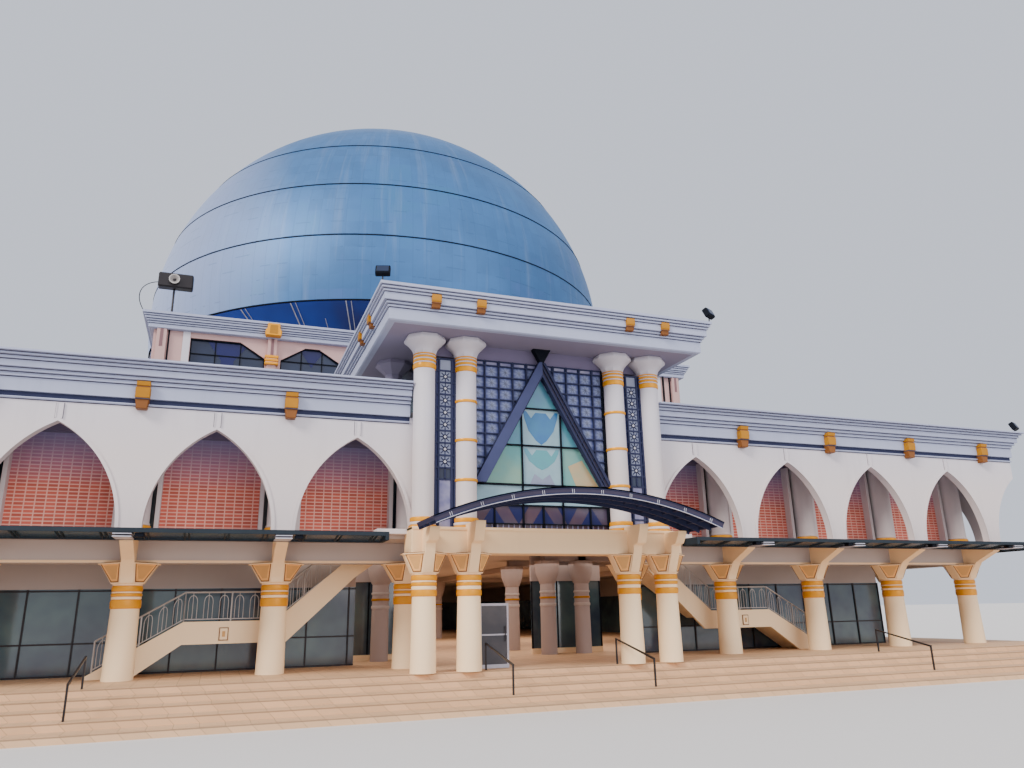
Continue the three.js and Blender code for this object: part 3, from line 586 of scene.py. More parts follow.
def tinted_glass(name, colour, roughness, second, scale=0.6, gloss=0.25):
    """Glazing whose tone drifts between two colours, with more or less reflection."""
    nodes = Nodes(name)
    nodes.colour(nodes.ramp(nodes.noise(scale, 3), (0.35, second), (0.65, colour)))
    nodes.surface(roughness, 0.0, 0.0, gloss)


def star_panes(name):
    """Dark lattice panes with a soft pale star in the middle of each cell."""
    nodes = Nodes(name)
    x, _, z = nodes.axes()
    wide, high = LATTICE_WIDE * MODEL, LATTICE_HIGH * MODEL
    across = nodes.less(nodes.math("FRACT", nodes.over(x, wide)), 0.5)
    fall = nodes.over(nodes.less(z, LATTICE_TOP * MODEL), high)
    upward = nodes.less(nodes.math("FRACT", fall), 0.5)
    dx = nodes.times(across, wide)
    dz = nodes.times(upward, high)
    far = nodes.math("SQRT", nodes.plus(nodes.times(dx, dx), nodes.times(dz, dz)))
    petals = nodes.math("COSINE", nodes.times(nodes.math("ARCTAN2", dz, dx), 8.0))
    reach = nodes.plus(nodes.times(petals, 0.014), 0.118)
    glow = nodes.math("MAXIMUM", nodes.less(1.0, nodes.over(far, reach)), 0.0)
    ground = nodes.ramp(nodes.noise(1.3, 3), (0.3, (0.05, 0.065, 0.19)), (0.7, (0.08, 0.1, 0.27)))
    nodes.colour(nodes.mix(nodes.math("POWER", glow, 1.1), ground, (0.34, 0.4, 0.66)))
    nodes.surface(0.4, 0.0, 0.1)


def metal_cladding(name, sizes):
    """Blue metal sheets of the dome: gores that narrow towards the crown, in level courses."""
    nodes = Nodes(name)
    x, y, z = nodes.axes()
    radius = DOME_RADIUS * MODEL
    azimuth = nodes.over(nodes.math("ARCTAN2", y, x), 2 * pi)
    rise = nodes.over(nodes.less(z, DOME_CENTRE * MODEL), radius)
    rise = nodes.math("MAXIMUM", nodes.math("MINIMUM", rise, 1.0), -1.0)
    elevation = nodes.over(nodes.math("ARCSINE", rise), pi / 2)
    gores = nodes.times(azimuth, float(sizes.dome_gores))
    courses = nodes.times(elevation, float(sizes.dome_courses))
    seam_across = nodes.math("LESS_THAN", nodes.math("PINGPONG", gores, 0.5), 0.035)
    seam_up = nodes.math("LESS_THAN", nodes.math("PINGPONG", courses, 0.5), 0.04)
    broken = nodes.math("GREATER_THAN", nodes.noise(1.6, 2), 0.55)
    seam = nodes.math("MAXIMUM", nodes.times(seam_across, 0.5), nodes.times(seam_up, broken))
    sheet = nodes.plane(nodes.math("FLOOR", gores), nodes.math("FLOOR", courses))
    tone = nodes.new("TexWhiteNoise", {"Vector": sheet}, noise_dimensions="3D").outputs["Value"]
    blend = nodes.plus(nodes.times(tone, 0.1), nodes.times(nodes.noise(0.3, 6, 0.6), 0.9))
    colour = sizes.dome_colour
    green = (colour[0] * 0.9, colour[1] * 1.12, colour[2] * 0.92)
    violet = (colour[0] * 1.5, colour[1] * 0.92, colour[2] * 1.05)
    tone = nodes.ramp(blend, (0.2, violet), (0.42, shade(colour, 0.82)), (0.6, colour), (0.82, green))
    flow = nodes.plane(gores, nodes.times(elevation, 2.0))
    runs = nodes.mask(nodes.noise(0.9, 5, 0.6, flow), 0.55, 0.8)
    crown = nodes.limited(elevation, 0.5, 0.8)
    # Painted reflection: the dome's left side is painted paler, as the bright sky's sheen on it.
    sky_sheen_side = nodes.limited(nodes.times(x, -1.0), 0.5 * radius, radius)
    # Rain runs, a paler crown, the painted sky reflection on the left and dark seams, laid over the sheets'
    # tone.
    for place, share, wear_and_sheen_tone in (
        (runs, 0.25, (0.34, 0.42, 0.6)),
        (crown, 0.7, (0.3, 0.37, 0.54)),
        (sky_sheen_side, 0.85, (0.46, 0.52, 0.74)),
        (seam, 0.24, shade(colour, 0.35)),
    ):
        tone = nodes.mix(nodes.times(place, share), tone, wear_and_sheen_tone)
    nodes.colour(tone)
    nodes.bump(nodes.less(1.0, seam), 0.25, 0.01)
    nodes.surface(0.5, 0.3, 0.0, 0.35)


def make_finishes(sizes):
    """Makes every finish, in the user's colours where they have one."""
    white = sizes.white_colour
    # Painted light: the upper walls are painted warmer below 7.5 m, as warm light on them, and turn to the
    # plain white by 9.3 m under the parapet.
    warm_lit_white = (white[0] * 1.05, white[1] * 0.98, white[2] * 0.88)
    painted_render("white_paint", white, 0.6, 0.22, warm_lit_white, 7.5, 9.3)
    # Painted shade: the mouldings take a darker, bluer copy of the white, as the shade on them.
    painted_render("shaded_trim_paint", (white[0] * 0.62, white[1] * 0.71, white[2] * 0.88), 0.6, 0.22)
    cream = sizes.cream_colour
    low_cream = (min(cream[0] * 1.02, 1.0), cream[1] * 1.13, cream[2] * 1.25)
    painted_render("cream_paint", cream, 0.55, 0.12, low_cream, 3.2, 4.9)
    # Painted shade: ceilings, beams and the hall rings are painted in the darker mauve-brown that the
    # ceilings show in shade.
    painted_render("soffit_shade_paint", sizes.soffit_shade_colour, 0.7, 0.08)
    # Painted shade: the canopy deck is painted in the dark mauve-blue of its underside in shade.
    painted_render("canopy_soffit_shade", (0.27, 0.245, 0.34), 0.7, 0.1)
    painted_render("gallery_shade", (0.2, 0.17, 0.27), 0.7, 0.1)
    painted_render("hall_paint", (0.42, 0.34, 0.32), 0.7, 0.1)
    painted_render("block_paint", sizes.block_colour, 0.65, 0.15)
    painted_render("pilaster_stripe", (0.22, 0.12, 0.13), 0.65, 0.1)
    painted_render("roof_screed", (0.42, 0.41, 0.4), 0.9, 0.5)
    painted_render("shadow_line", (0.07, 0.065, 0.1), 0.8, 0.0)
    gloss_paint("gold_paint", sizes.gold_colour, 0.34, 0.1)
    gloss_paint("deep_gold", shade(sizes.gold_colour, 0.55), 0.4, 0.1)
    gloss_paint("amber_panel", sizes.panel_colour, 0.45)
    gloss_paint("amber_mark", shade(sizes.panel_colour, 0.72), 0.45)
    gloss_paint("bronze_line", (0.22, 0.085, 0.03), 0.4, 0.1)
    gloss_paint("navy_paint", sizes.navy_colour, 0.6, specular=0.12)
    gloss_paint("bow_paint", (0.05, 0.043, 0.075), 0.6, specular=0.12)
    gloss_paint("frame_plate", (0.06, 0.07, 0.16), 0.6, specular=0.12)
    gloss_paint("awning_edge", (0.024, 0.034, 0.045), 0.6, specular=0.12)
    gloss_paint("spout_brown", (0.22, 0.075, 0.012), 0.5)
    gloss_paint("black_paint", (0.004, 0.006, 0.012), 0.6, specular=0.1)
    gloss_paint("pale_line", (0.5, 0.5, 0.58), 0.45)
    gloss_paint("dark_steel", (0.03, 0.027, 0.03), 0.4, 0.5)
    gloss_paint("pale_steel", (0.5, 0.47, 0.45), 0.4, 0.4)
    brick_infill("brick_front", sizes, "x")
    brick_infill("brick_side", sizes, "y")
    stone_slabs("platform_stone", sizes)
    tinted_glass("dark_glass", (0.085, 0.14, 0.15), 0.1, (0.03, 0.045, 0.08), 0.9, 0.9)
    tinted_glass("drum_pane", (0.012, 0.06, 0.4), 0.2, (0.012, 0.025, 0.17), 0.35, 0.4)
    tinted_glass("slate_pane", (0.02, 0.032, 0.07), 0.3, (0.012, 0.018, 0.045))
    tinted_glass("motif_pane", (0.006, 0.009, 0.07), 0.35, (0.008, 0.012, 0.1))
    tinted_glass("dusk_pane", (0.09, 0.055, 0.075), 0.2, (0.05, 0.04, 0.08), 1.4)
    tinted_glass("clear_pane", (0.24, 0.27, 0.37), 0.25, (0.15, 0.17, 0.27), 1.2)
    tinted_glass("hazy_pane", (0.1, 0.09, 0.095), 0.2, (0.05, 0.05, 0.06), 1.4)
    tinted_glass("lilac_pane", (0.3, 0.29, 0.42), 0.25, (0.1, 0.1, 0.25), 2.4)
    tinted_glass("awning_sheet", (0.05, 0.09, 0.12), 0.25, (0.03, 0.045, 0.08), 1.2)
    tinted_glass("teal_pane", (0.08, 0.3, 0.34), 0.15, (0.09, 0.22, 0.34), 1.6)
    tinted_glass("blue_pane", (0.03, 0.13, 0.34), 0.15, (0.04, 0.18, 0.34), 1.6)
    tinted_glass("green_pane", (0.2, 0.34, 0.26), 0.15, (0.1, 0.31, 0.31), 1.1)
    tinted_glass("amber_pane", (0.62, 0.32, 0.14), 0.15, (0.3, 0.34, 0.22), 1.1)
    tinted_glass("pale_pane", (0.26, 0.4, 0.46), 0.15, (0.2, 0.33, 0.4), 1.6)
    star_panes("star_panes")
    metal_cladding("dome_metal", sizes)


# CAD nodes that keep their shape, with the finish that each takes
NODE_FINISHES = {
    "base_step": "platform_stone",
    "floor_slab": "platform_stone",
    "upper_floor": "soffit_shade_paint",
    "roof_slab": "roof_screed",
    "hall_header": "soffit_shade_paint",
    "hall_glass": "dark_glass",
    "gallery_glass": "dark_glass",
    "lobby_glass": "dark_glass",
    "block_glass": "slate_pane",
    "block_roof": "roof_screed",
    "block_wall": "block_paint",
    "stair_railing": "pale_steel",
    "stair_": "cream_paint",
    "handrail": "dark_steel",
    "canopy_deck": "canopy_soffit_shade",
    "": "white_paint",
}


def dress_nodes():
    """Gives each CAD node the finish of the first stem that its name starts with."""
    for name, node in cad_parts.items():
        finish = next(value for stem, value in NODE_FINISHES.items() if name.startswith(stem))
        node.data.materials.clear()
        node.data.materials.append(bpy.data.materials[FINISH + finish])


# Ground storey


def banded_neck(work, radius, heights, plain):
    """Round bands one above another, gold and plain by turns from the lowest."""
    for i, (bottom, top) in enumerate(zip(heights, heights[1:])):
        gold = i % 2 == 0
        band = round_band(bottom, top, radius, 0.035 if gold else 0.02)
        work.add(band, "gold_paint" if gold else plain)


def cut_square(bottom, top, foot, head, half):
    """An upright square solid turned corner to corner, its corners cut to a width of twice half."""
    shape = bmesh.new()
    bmesh.ops.create_cone(
        shape,
        cap_ends=True,
        segments=8,
        radius1=foot,
        radius2=head,
        depth=top - bottom,
        matrix=shift(z=(top + bottom) / 2) @ Matrix.Rotation(pi / 8, 4, "Z"),
    )
    for vert in shape.verts:
        reach = foot if vert.co.z < (top + bottom) / 2 else head
        along_x = abs(vert.co.x) > abs(vert.co.y)
        vert.co.x = copysign(reach if along_x else half, vert.co.x)
        vert.co.y = copysign(half if along_x else reach, vert.co.y)
    return shape


def panelled_capital(work, bottom, top, foot, head, half):
    """A flared capital with a framed amber panel on each slanting face and a rim on top."""
    part = Workpiece("cream_paint", "bronze_line", "amber_panel", "amber_mark")
    cream, bronze, amber, mark = range(4)
    part.mesh.free()
    part.mesh = cut_square(bottom, top, foot, head, half)
    shape = part.mesh
    for face in shape.faces:
        face.material_index = cream
    bmesh.ops.recalc_face_normals(shape, faces=shape.faces)
    shape.normal_update()
    slanting = [face for face in shape.faces if min(abs(face.normal.x), abs(face.normal.y)) > 0.3]
    insets = (
        (0.05, 0.0, cream), (0.012, 0.02, bronze), (0.022, 0.0, bronze), (0.012, -0.018, bronze),
        (0.09, 0.0, amber), (0.012, 0.008, mark),
    )
    for thickness, depth, finish in insets:
        rim = bmesh.ops.inset_individual(shape, faces=slanting, thickness=thickness, depth=depth)
        for face in rim["faces"]:
            face.material_index = finish
    for face in slanting:
        face.material_index = mark
    work.repeat(part)
    work.add(cut_square(top - 0.05, top - 0.02, head + 0.03, head + 0.04, half + 0.015), "cream_paint")
    work.add(cut_square(top - 0.02, top, head + 0.03, head + 0.03, half + 0.01), "bronze_line")


def ground_column():
    """One veranda column with its bands and capital."""
    work = Workpiece()
    work.add(turned_shape([(0, ON_FLOOR), (0.46, ON_FLOOR), (0.415, 3.06), (0, 3.06)]), "cream_paint")
    banded_neck(work, 0.42, (3.03, 3.31, 3.4, 3.5, 3.55, 3.73, 3.8), "cream_paint")
    panelled_capital(work, 3.79, BEAM_BASE + 0.01, 0.47, 0.86, 0.2)
    return work


def bracket_arm():
    """The pier on a capital's face, which leans out as an arm to the floor edge."""
    outline = [
        (0.2, 3.8), (0.53, 3.8), (0.58, 3.98), (0.98, 4.5), (OVERHANG - 0.02, 4.95), (OVERHANG, 4.99),
        (OVERHANG, UNDER_SLAB), (0.2, UNDER_SLAB),
    ]
    return bevelled(side_shape(outline, -0.19, 0.19), 0.012)


def build_colonnade(name, side, places, start, end):
    """Columns of one side or wing, their bracket arms, and the beam that they carry."""
    work = Workpiece()
    here = [turn(side)]
    line = -SIDES[side][1]
    half = 0.3
    work.repeat(ground_column(), [turn(side) @ shift(x, line) for x in places])
    armed = [turn(side) @ shift(x, line) for x in places if side != "front" or abs(x) > 1.5 * BAY]
    work.add(bracket_arm(), "cream_paint", armed)
    beam = box_shape(start, end, line - half, line + half, BEAM_BASE, UNDER_SLAB)
    work.add(bevelled(beam, 0.01), "soffit_shade_paint", here)
    lip = box_shape(start, end, line - half - 0.03, line - half + 0.01, BEAM_BASE + 0.02, BEAM_BASE + 0.09)
    work.add(lip, "cream_paint", here)
    work.finish("veranda_" + name, "cream_render", "colonnade_" + name)


def build_colonnades():
    wing = wing_places()
    end = HALF_WIDTH + 0.3
    inner = -PORTICO_X[3] + 0.3
    length = HALF_DEPTH - 0.34 - SEAT
    build_colonnade("front_left", "front", wing, -end, inner)
    build_colonnade("front_right", "front", [-x for x in wing], -inner, end)
    build_colonnade("back", "back", column_places("back"), -end, end)
    for side in ("left", "right"):
        build_colonnade(side, side, column_places(side), -length, length)


# Hall behind the veranda

HALL_ROWS = (-24.75, -20.25, 0, 20.25)
HALL_BEAM = 4.83
HALL_OUTER_X = -3 * BAY
# Half of the gap in the front glazing
HALL_DOOR_HALF = 5.85


def hall_column():
    """A hall column with pale and gold rings and a flared head."""
    work = Workpiece()
    profile = [
        (0, ON_FLOOR), (0.36, ON_FLOOR), (0.33, 3.86), (0.37, 3.9), (0.52, 4.3), (0.58, HALL_BEAM),
        (0, HALL_BEAM),
    ]
    sides = 16
    work.add(turned_shape(profile, sides), "hall_paint")
    rings = ((2.9, 3.04, "soffit_shade_paint"), (3.22, 3.32, "deep_gold"), (3.46, 3.56, "soffit_shade_paint"))
    for z0, z1, finish in rings:
        work.add(round_band(z0, z1, 0.335, 0.035, sides), finish)
    return work


def build_hall():
    """Hall columns with the ceiling beams that they carry, and a glazed screen beside the entrance."""
    near_rows = HALL_ROWS[:2]
    near_x = -2.88
    half_beam = 0.2
    lines = (HALL_OUTER_X, PORTICO_X[0])
    beams = []
    for y in HALL_ROWS:
        reach = near_x + half_beam if y in near_rows else PORTICO_X[0]
        beams.append((HALL_OUTER_X, reach, y - half_beam, y + half_beam))
    for x in lines:
        beams.append((x - half_beam, x + half_beam, HALL_ROWS[0] - half_beam, HALL_ROWS[3] + half_beam))
    start, end = -HALL_DOOR_HALF, -2.4
    sill, head = 1.12, 4.0
    y = HALL_ROWS[0] + 0.8
    for name, half in (("left", Matrix()), ("right", MIRROR)):
        work = Workpiece()
        spots = [(x, row) for x in lines for row in HALL_ROWS] + [(near_x, row) for row in near_rows]
        work.repeat(hall_column(), [half @ shift(*spot) for spot in spots])
        for x0, x1, y0, y1 in beams:
            work.add(bevelled(box_shape(x0, x1, y0, y1, HALL_BEAM, UNDER_SLAB), 0.015), "hall_paint", [half])
        work.add(box_shape(start, end, y, y + 0.05, sill, head), "dark_glass", [half])
        work.add(box_shape(start, end, y - 0.06, y + 0.1, ON_FLOOR, sill), "cream_paint", [half])
        work.add(box_shape(start, end, y - 0.06, y + 0.1, head, UNDER_SLAB), "hall_paint", [half])
        for x in (start, -4.9, -3.7, end - 0.06):
            work.add(box_shape(x, x + 0.06, y - 0.03, y, sill, head), "black_paint", [half])
        work.finish("hall_columns_" + name, "cream_render", "hall_frame_" + name)


def build_glazing_bars():
    """Upright and level bars of the glazed walls around the hall."""
    work = Workpiece()
    veranda = 2.7
    half_x, half_y = HALF_WIDTH - veranda, HALF_DEPTH - veranda
    spacing = 1.5
    top = 3.72
    for side in SIDES:
        here = [turn(side)]
        wide = side in ("front", "back")
        out = half_y if wide else half_x
        half = half_x if wide else half_y
        count = round(2 * half / spacing)
        for i in range(count + 1):
            x = -half + 2 * half * i / count
            if side != "front" or abs(x) > HALL_DOOR_HALF:
                bar = box_shape(x - 0.028, x + 0.028, -out - 0.05, -out, ON_FLOOR, top)
                work.add(bar, "dark_steel", here)
        stretches = [(-half, half)]
        if side == "front":
            stretches = [(-half, -HALL_DOOR_HALF), (HALL_DOOR_HALF, half)]
        for start, end in stretches:
            for z in (ON_FLOOR + 0.04, 1.95, top - 0.06):
                rail = box_shape(start, end, -out - 0.045, -out, z - 0.026, z + 0.026)
                work.add(rail, "dark_steel", here)
    work.finish("hall_glazing_bars", "dark_steel")


def pale_pipe(work, start, end, radius=0.012, sides=6):
    """A pipe of both stairs' railings."""
    work.add(rod_shape(start, end, radius, sides), "pale_steel", BOTH_HALVES)


def arched_infill(work, x0, z0, x1, z1, top0, top1, y, arches):
    """Thin pickets whose heads are joined by round arches, between two rails of a railing panel."""
    pitch = (x1 - x0) / arches
    lean = (z1 - z0) / (x1 - x0)
    arch_high = 0.2
    below = 0.3

    def foot(x):
        return z0 + lean * (x - x0) + FOOT_RAIL

    def head(x):
        return top0 + (top1 - top0) * (x - x0) / (x1 - x0)

    for i in range(arches):
        middle = x0 + (i + 0.5) * pitch
        pale_pipe(work, (middle, y, foot(middle)), (middle, y, head(middle)))
        for share in (0.22, 0.78):
            x = x0 + (i + share) * pitch
            pale_pipe(work, (x, y, foot(x)), (x, y, head(x) - below))
        points = []
        for step in range(7):
            angle = pi * step / 6
            x = middle - 0.28 * pitch * cos(angle)
            points.append((x, y, head(x) - below + arch_high * sin(angle)))
        for start, end in zip(points, points[1:]):
            pale_pipe(work, start, end)


def build_stair_railings():
    """Railings on the stair stringers: pale pipe, with three arches between one post and the next."""
    work = Workpiece()
    y = STAIR_FRONT + STRINGER / 2
    high = 0.95
    landing_top = LANDING + STRINGER_LIP
    foot_end = STAIR_FOOT_X - 0.2
    slope = (LANDING - FLOOR) / (LANDING_X0 - foot_end)
    bend = LANDING_X1 - 0.12
    upper_slope = (UPPER_FLOOR - LANDING) / (-5.19 - LANDING_X1)
    ceiling = SLAB_BASE - 0.03
    thick, thin = 0.028, 0.018
    last = bend + (ceiling - landing_top) / upper_slope - 0.4
    first_z = FLOOR + STRINGER_LIP + slope * (STAIR_FOOT_X - foot_end)
    last_z = landing_top + upper_slope * (last - bend)
    for x0, z0, x1, z1, panels in (
        (STAIR_FOOT_X, first_z, LANDING_X0, landing_top, 2),
        (LANDING_X0, landing_top, bend, landing_top, 2),
        (bend, landing_top, last, last_z, 3),
    ):
        posts = []
        for i in range(panels + 1):
            x = x0 + (x1 - x0) * i / panels
            foot = z0 + (z1 - z0) / (x1 - x0) * (x - x0)
            posts.append((x, foot, min(foot + high, ceiling)))
        for x, foot, head in posts:
            pale_pipe(work, (x, y, foot + SEAT), (x, y, head), thick, 8)
        for (a, foot_a, head_a), (b, foot_b, head_b) in zip(posts, posts[1:]):
            pale_pipe(work, (a, y, head_a), (b, y, head_b), thick, 8)
            pale_pipe(work, (a, y, foot_a + FOOT_RAIL), (b, y, foot_b + FOOT_RAIL), thin)
            if head_b - foot_b > 0.6:
                arched_infill(work, a, foot_a, b, foot_b, head_a, head_b, y, 3)
    work.finish("stair_rails", "dark_steel", "stair_railing_left", "stair_railing_right")


def build_stair_plates():
    """Small framed plate on each landing's stringer, left plain."""
    work = Workpiece()
    x0, x1, z0, z1 = -10.62, -10.38, 2.0, 2.36
    rim, inset = 0.03, 0.07
    for a, b, front, back, low, high, edge, finish in (
        (x0 - rim, x1 + rim, rim, SEAT, z0 - rim, z1 + rim, 0.006, "bronze_line"),
        (x0, x1, 0.038, 0.028, z0, z1, 0.004, "cream_paint"),
        (x0 + inset, x1 - inset, 0.045, 0.035, z0 + 0.09, z1 - 0.09, 0.004, "amber_mark"),
    ):
        plate = box_shape(a, b, STAIR_FRONT - front, STAIR_FRONT - back, low, high)
        work.add(bevelled(plate, edge), finish, BOTH_HALVES)
    work.finish("landing_plates", "dark_steel")


def build_entrance_panel():
    """White-framed glass panel that stands beside the left inner portico column."""
    work = Workpiece()
    x0, x1, y = -2.4, -1.35, PORTICO_LOWER_Y + 0.75
    foot, head = ON_FLOOR, 3.0
    for a, b in ((x0, x0 + 0.07), (x1 - 0.07, x1)):
        work.add(bevelled(box_shape(a, b, y - 0.03, y + 0.03, foot, head), 0.008), "pale_line")
    for a, b in ((foot, foot + 0.12), (1.95, 2.0), (head - 0.08, head)):
        work.add(box_shape(x0 + 0.05, x1 - 0.05, y - 0.028, y + 0.028, a, b), "pale_line")
    work.add(box_shape(x0 + 0.05, x1 - 0.05, y - 0.008, y + 0.008, foot + 0.1, head - 0.05), "hazy_pane")
    handle_x, handle_y = x1 - 0.14, y - 0.07
    work.add(rod_shape((handle_x, handle_y, 1.75), (handle_x, handle_y, 2.25), 0.015, 8), "dark_steel")
    for z in (1.78, 2.22):
        work.add(rod_shape((handle_x, handle_y, z), (handle_x, y, z), 0.012, 8), "dark_steel")
    work.finish("entrance_panel", "clear_glass")


# Awning on the floor edge


def build_awnings():
    """Glazed awning around each front corner: dark edges, sheet, gutter and bracket pairs."""
    work = Workpiece()
    deep = 1.04
    back_out = OVERHANG + 0.05
    front_out = back_out + deep
    low, high = 4.99, SLAB_BASE + 0.13
    sheet = [(back_out, 5.04), (front_out - 0.03, 5.17), (front_out - 0.03, 5.2), (back_out, 5.07)]
    arm = [(back_out, 5.0), (front_out - 0.05, 5.14), (front_out - 0.05, 5.24), (back_out, 5.24)]
    portico_end = 5.9
    for profile, finish in (
        (sheet, "awning_sheet"),
        (rectangle(front_out - 0.07, front_out, SLAB_BASE, high), "awning_edge"),
        (rectangle(back_out, back_out + 0.07, low, low + 0.07), "awning_edge"),
        (rectangle(back_out, back_out + 0.08, 5.2, high), "awning_edge"),
    ):
        ring = opened(ring_shape(profile, HALF_WIDTH, HALF_DEPTH), portico_end)
        work.add(cut_away(ring, HALF_DEPTH + back_out - 0.01), finish)
    pitch = BAY / 4
    for side in ("front", "left", "right"):
        _, out, half, _ = SIDES[side]
        here = [turn(side) @ shift(y=-out)]
        for i in range(-1, int(2 * half / pitch) + 1):
            x = -half + pitch / 2 + i * pitch
            if side == "front" and abs(x) < portico_end + 0.2:
                continue
            for lean in (-0.075, 0.045):
                work.add(side_shape(arm, x + lean, x + lean + 0.035), "awning_edge", here)
    front, back = FRONT_Y - front_out, FRONT_Y - back_out
    for x in wing_places()[:-1]:
        for level in range(3):
            z = 5.0 + 0.08 * level
            fin = box_shape(x - 0.28, x + 0.22, front + 0.02, back, z, z + 0.03)
            work.add(fin, "pale_line", BOTH_HALVES)
        lamp = box_shape(x + 0.3, x + 0.55, front + 0.05, front + 0.3, 5.0, 5.12)
        work.add(bevelled(lamp, 0.01), "black_paint", BOTH_HALVES)
    end_cap = box_shape(-portico_end, -portico_end + 0.12, front, back, low, high)
    work.add(bevelled(end_cap, 0.01), "awning_edge", BOTH_HALVES)
    work.finish("glazed_awnings", "navy_paint", "awning_left", "awning_right")


# Upper storey


def half_arch_height(distance):
    """Height of the arch over its feet at a distance from its middle."""
    centre = ARCH_RADIUS - ARCH_HALF_SPAN
    return sqrt(max(0.0, ARCH_RADIUS**2 - (distance + centre) ** 2))


def wall_outline(start, end, centres):
    """The arcade wall's outline: under the arches from start to end, then back along the top."""
    foot = ON_UPPER_FLOOR
    top = WALL_TOP - SEAT

    def height(x):
        near = min(abs(x - centre) for centre in centres)
        return foot + (half_arch_height(near) if near < ARCH_HALF_SPAN else 0.0)

    under = [(start, height(start))]
    for centre in centres:
        under += [(centre + x, foot + z) for x, z in arch_curve() if start + 0.02 < centre + x < end - 0.02]
    under.append((end, height(end)))
    return [*under, (end, top), (start, top)]


def arch_trim(work, centre, wall):
    """The raised edge around one arch and the strip from its apex to the moulding above."""
    here = [wall @ shift(centre)]
    strip_top = 9.08
    outer = [(x, ON_UPPER_FLOOR + z) for x, z in arch_curve(0.1)]
    inner = [(x, ON_UPPER_FLOOR + z) for x, z in arch_curve(0.0)]
    work.add(prism_shape(outer + inner[::-1], -0.04, 0.01), "white_paint", here)
    for x, half, front, finish in (
        (0.0, 0.085, -0.03, "white_paint"),
        (-0.085, 0.014, -0.05, "white_paint"),
        (0.085, 0.014, -0.05, "white_paint"),
        (-0.107, 0.008, -0.004, "shadow_line"),
        (0.107, 0.008, -0.004, "shadow_line"),
    ):
        work.add(box_shape(x - half, x + half, front, 0.01, ARCH_APEX + 0.08, strip_top), finish, here)


def build_arcade(name, side, start, end, centres):
    """One side or wing of the arched wall, with a raised edge around each whole arch."""
    work = Workpiece()
    wall = turn(side) @ shift(y=-(SIDES[side][1] + OVERHANG))
    inside = [centre for centre in centres if start - ARCH_HALF_SPAN < centre < end + ARCH_HALF_SPAN]
    work.add(prism_shape(wall_outline(start, end, inside), 0, ARCADE_THICK), "white_paint", [wall])
    for centre in inside:
        if start < centre - ARCH_HALF_SPAN and centre + ARCH_HALF_SPAN < end:
            arch_trim(work, centre, wall)
    work.finish("arches_" + name, "white_render", "arcade_" + name)


def build_arcades():
    end = HALF_WIDTH + OVERHANG
    inner = BAY - 0.37
    length = HALF_DEPTH + OVERHANG - ARCADE_THICK - SEAT
    wide = [-HALF_WIDTH - BAY / 2, *bay_centres("front"), HALF_WIDTH + BAY / 2]
    long = [-HALF_DEPTH - BAY / 2, *bay_centres("left"), HALF_DEPTH + BAY / 2]
    left = [x for x in wide if x < -BAY + 1]
    build_arcade("front_left", "front", -end, -inner, left)
    build_arcade("front_right", "front", inner, end, [-x for x in reversed(left)])
    build_arcade("back", "back", -end, end, wide)
    for side in ("left", "right"):
        build_arcade(side, side, -length, length, long)


def gallery_column():
    """A round white column with a gold ring on its base."""
    work = Workpiece()
    foot = ON_UPPER_FLOOR
    work.add(turned_shape([(0, foot), (0.42, foot), (0.42, 9.1), (0, 9.1)]), "white_paint")
    work.add(band_shape(foot, foot + 0.1, 0.5), "white_paint")
    work.add(round_band(foot + 0.1, foot + 0.26, 0.45, 0.04), "gold_paint")
    work.add(band_shape(foot + 0.26, foot + 0.34, 0.45), "white_paint")
    return work


def build_gallery_wall(name, side, places, span, head_span):
    """Round columns, the brick panels between them and the head beam over both."""
    work = Workpiece()
    start, end = span
    here = [turn(side)]
    brick = "brick_front" if side in ("front", "back") else "brick_side"
    line = -SIDES[side][1]
    foot, head = ON_UPPER_FLOOR, GALLERY_HEAD
    top = WALL_TOP - SEAT
    front = line + 0.36
    back = front + 0.22
    clear, post_wide, lap = 0.55, 0.14, 0.06
    work.repeat(gallery_column(), [turn(side) @ shift(x, line) for x in places])
    work.add(box_shape(*head_span, line - 0.2, line + 0.2, head + 0.2, top), "gallery_shade", here)
    work.add(box_shape(start, end, line + 0.19, back + 0.02, head, top), "gallery_shade", here)
    for x in places:
        a, b = max(x + clear, start), min(x + BAY - clear, end)
        if b < a + 1:
            continue
        work.add(box_shape(a + lap, b - lap, front, back, foot, head), brick, here)
        for post in (a, b - post_wide):
            shape = bevelled(box_shape(post, post + post_wide, line, back, foot, head), 0.008)
            work.add(shape, "white_paint", here)
        for z0, z1, finish in ((foot, foot + 0.06, "white_paint"), (head - 0.06, head, "gallery_shade")):
            work.add(box_shape(a + lap, b - lap, front - 0.02, back, z0, z1), finish, here)
    work.finish("gallery_" + name, "brick_wall", "gallery_wall_" + name)


def build_gallery():
    """Gallery walls of the four sides, the front's in two wings."""
    wall_x = HALF_WIDTH - 0.36
    head_x = HALF_WIDTH + 0.2
    wall_y = HALF_DEPTH - 0.58 - SEAT
    head_y = HALF_DEPTH - 0.42 - SEAT
    wing = wing_places()
    right = [-x for x in reversed(wing)]
    build_gallery_wall("front_left", "front", wing, (-wall_x, -BAY), (-head_x, -BAY))
    build_gallery_wall("front_right", "front", right, (BAY, wall_x), (BAY, head_x))
    build_gallery_wall("back", "back", column_places("back"), (-wall_x, wall_x), (-head_x, head_x))
    for side in ("left", "right"):
        build_gallery_wall(side, side, column_places(side), (-wall_y, wall_y), (-head_y, head_y))


# Parapets

SHADOW_HIGH = 0.028
# Half of the parapet's gap at the portico
PARAPET_GAP = PORTICO_X[3] + 0.42


def shadow_profile(out, z):
    """A thin dark line under a projecting lip."""
    return rectangle(out - 0.05, out + 0.004, z, z + SHADOW_HIGH)


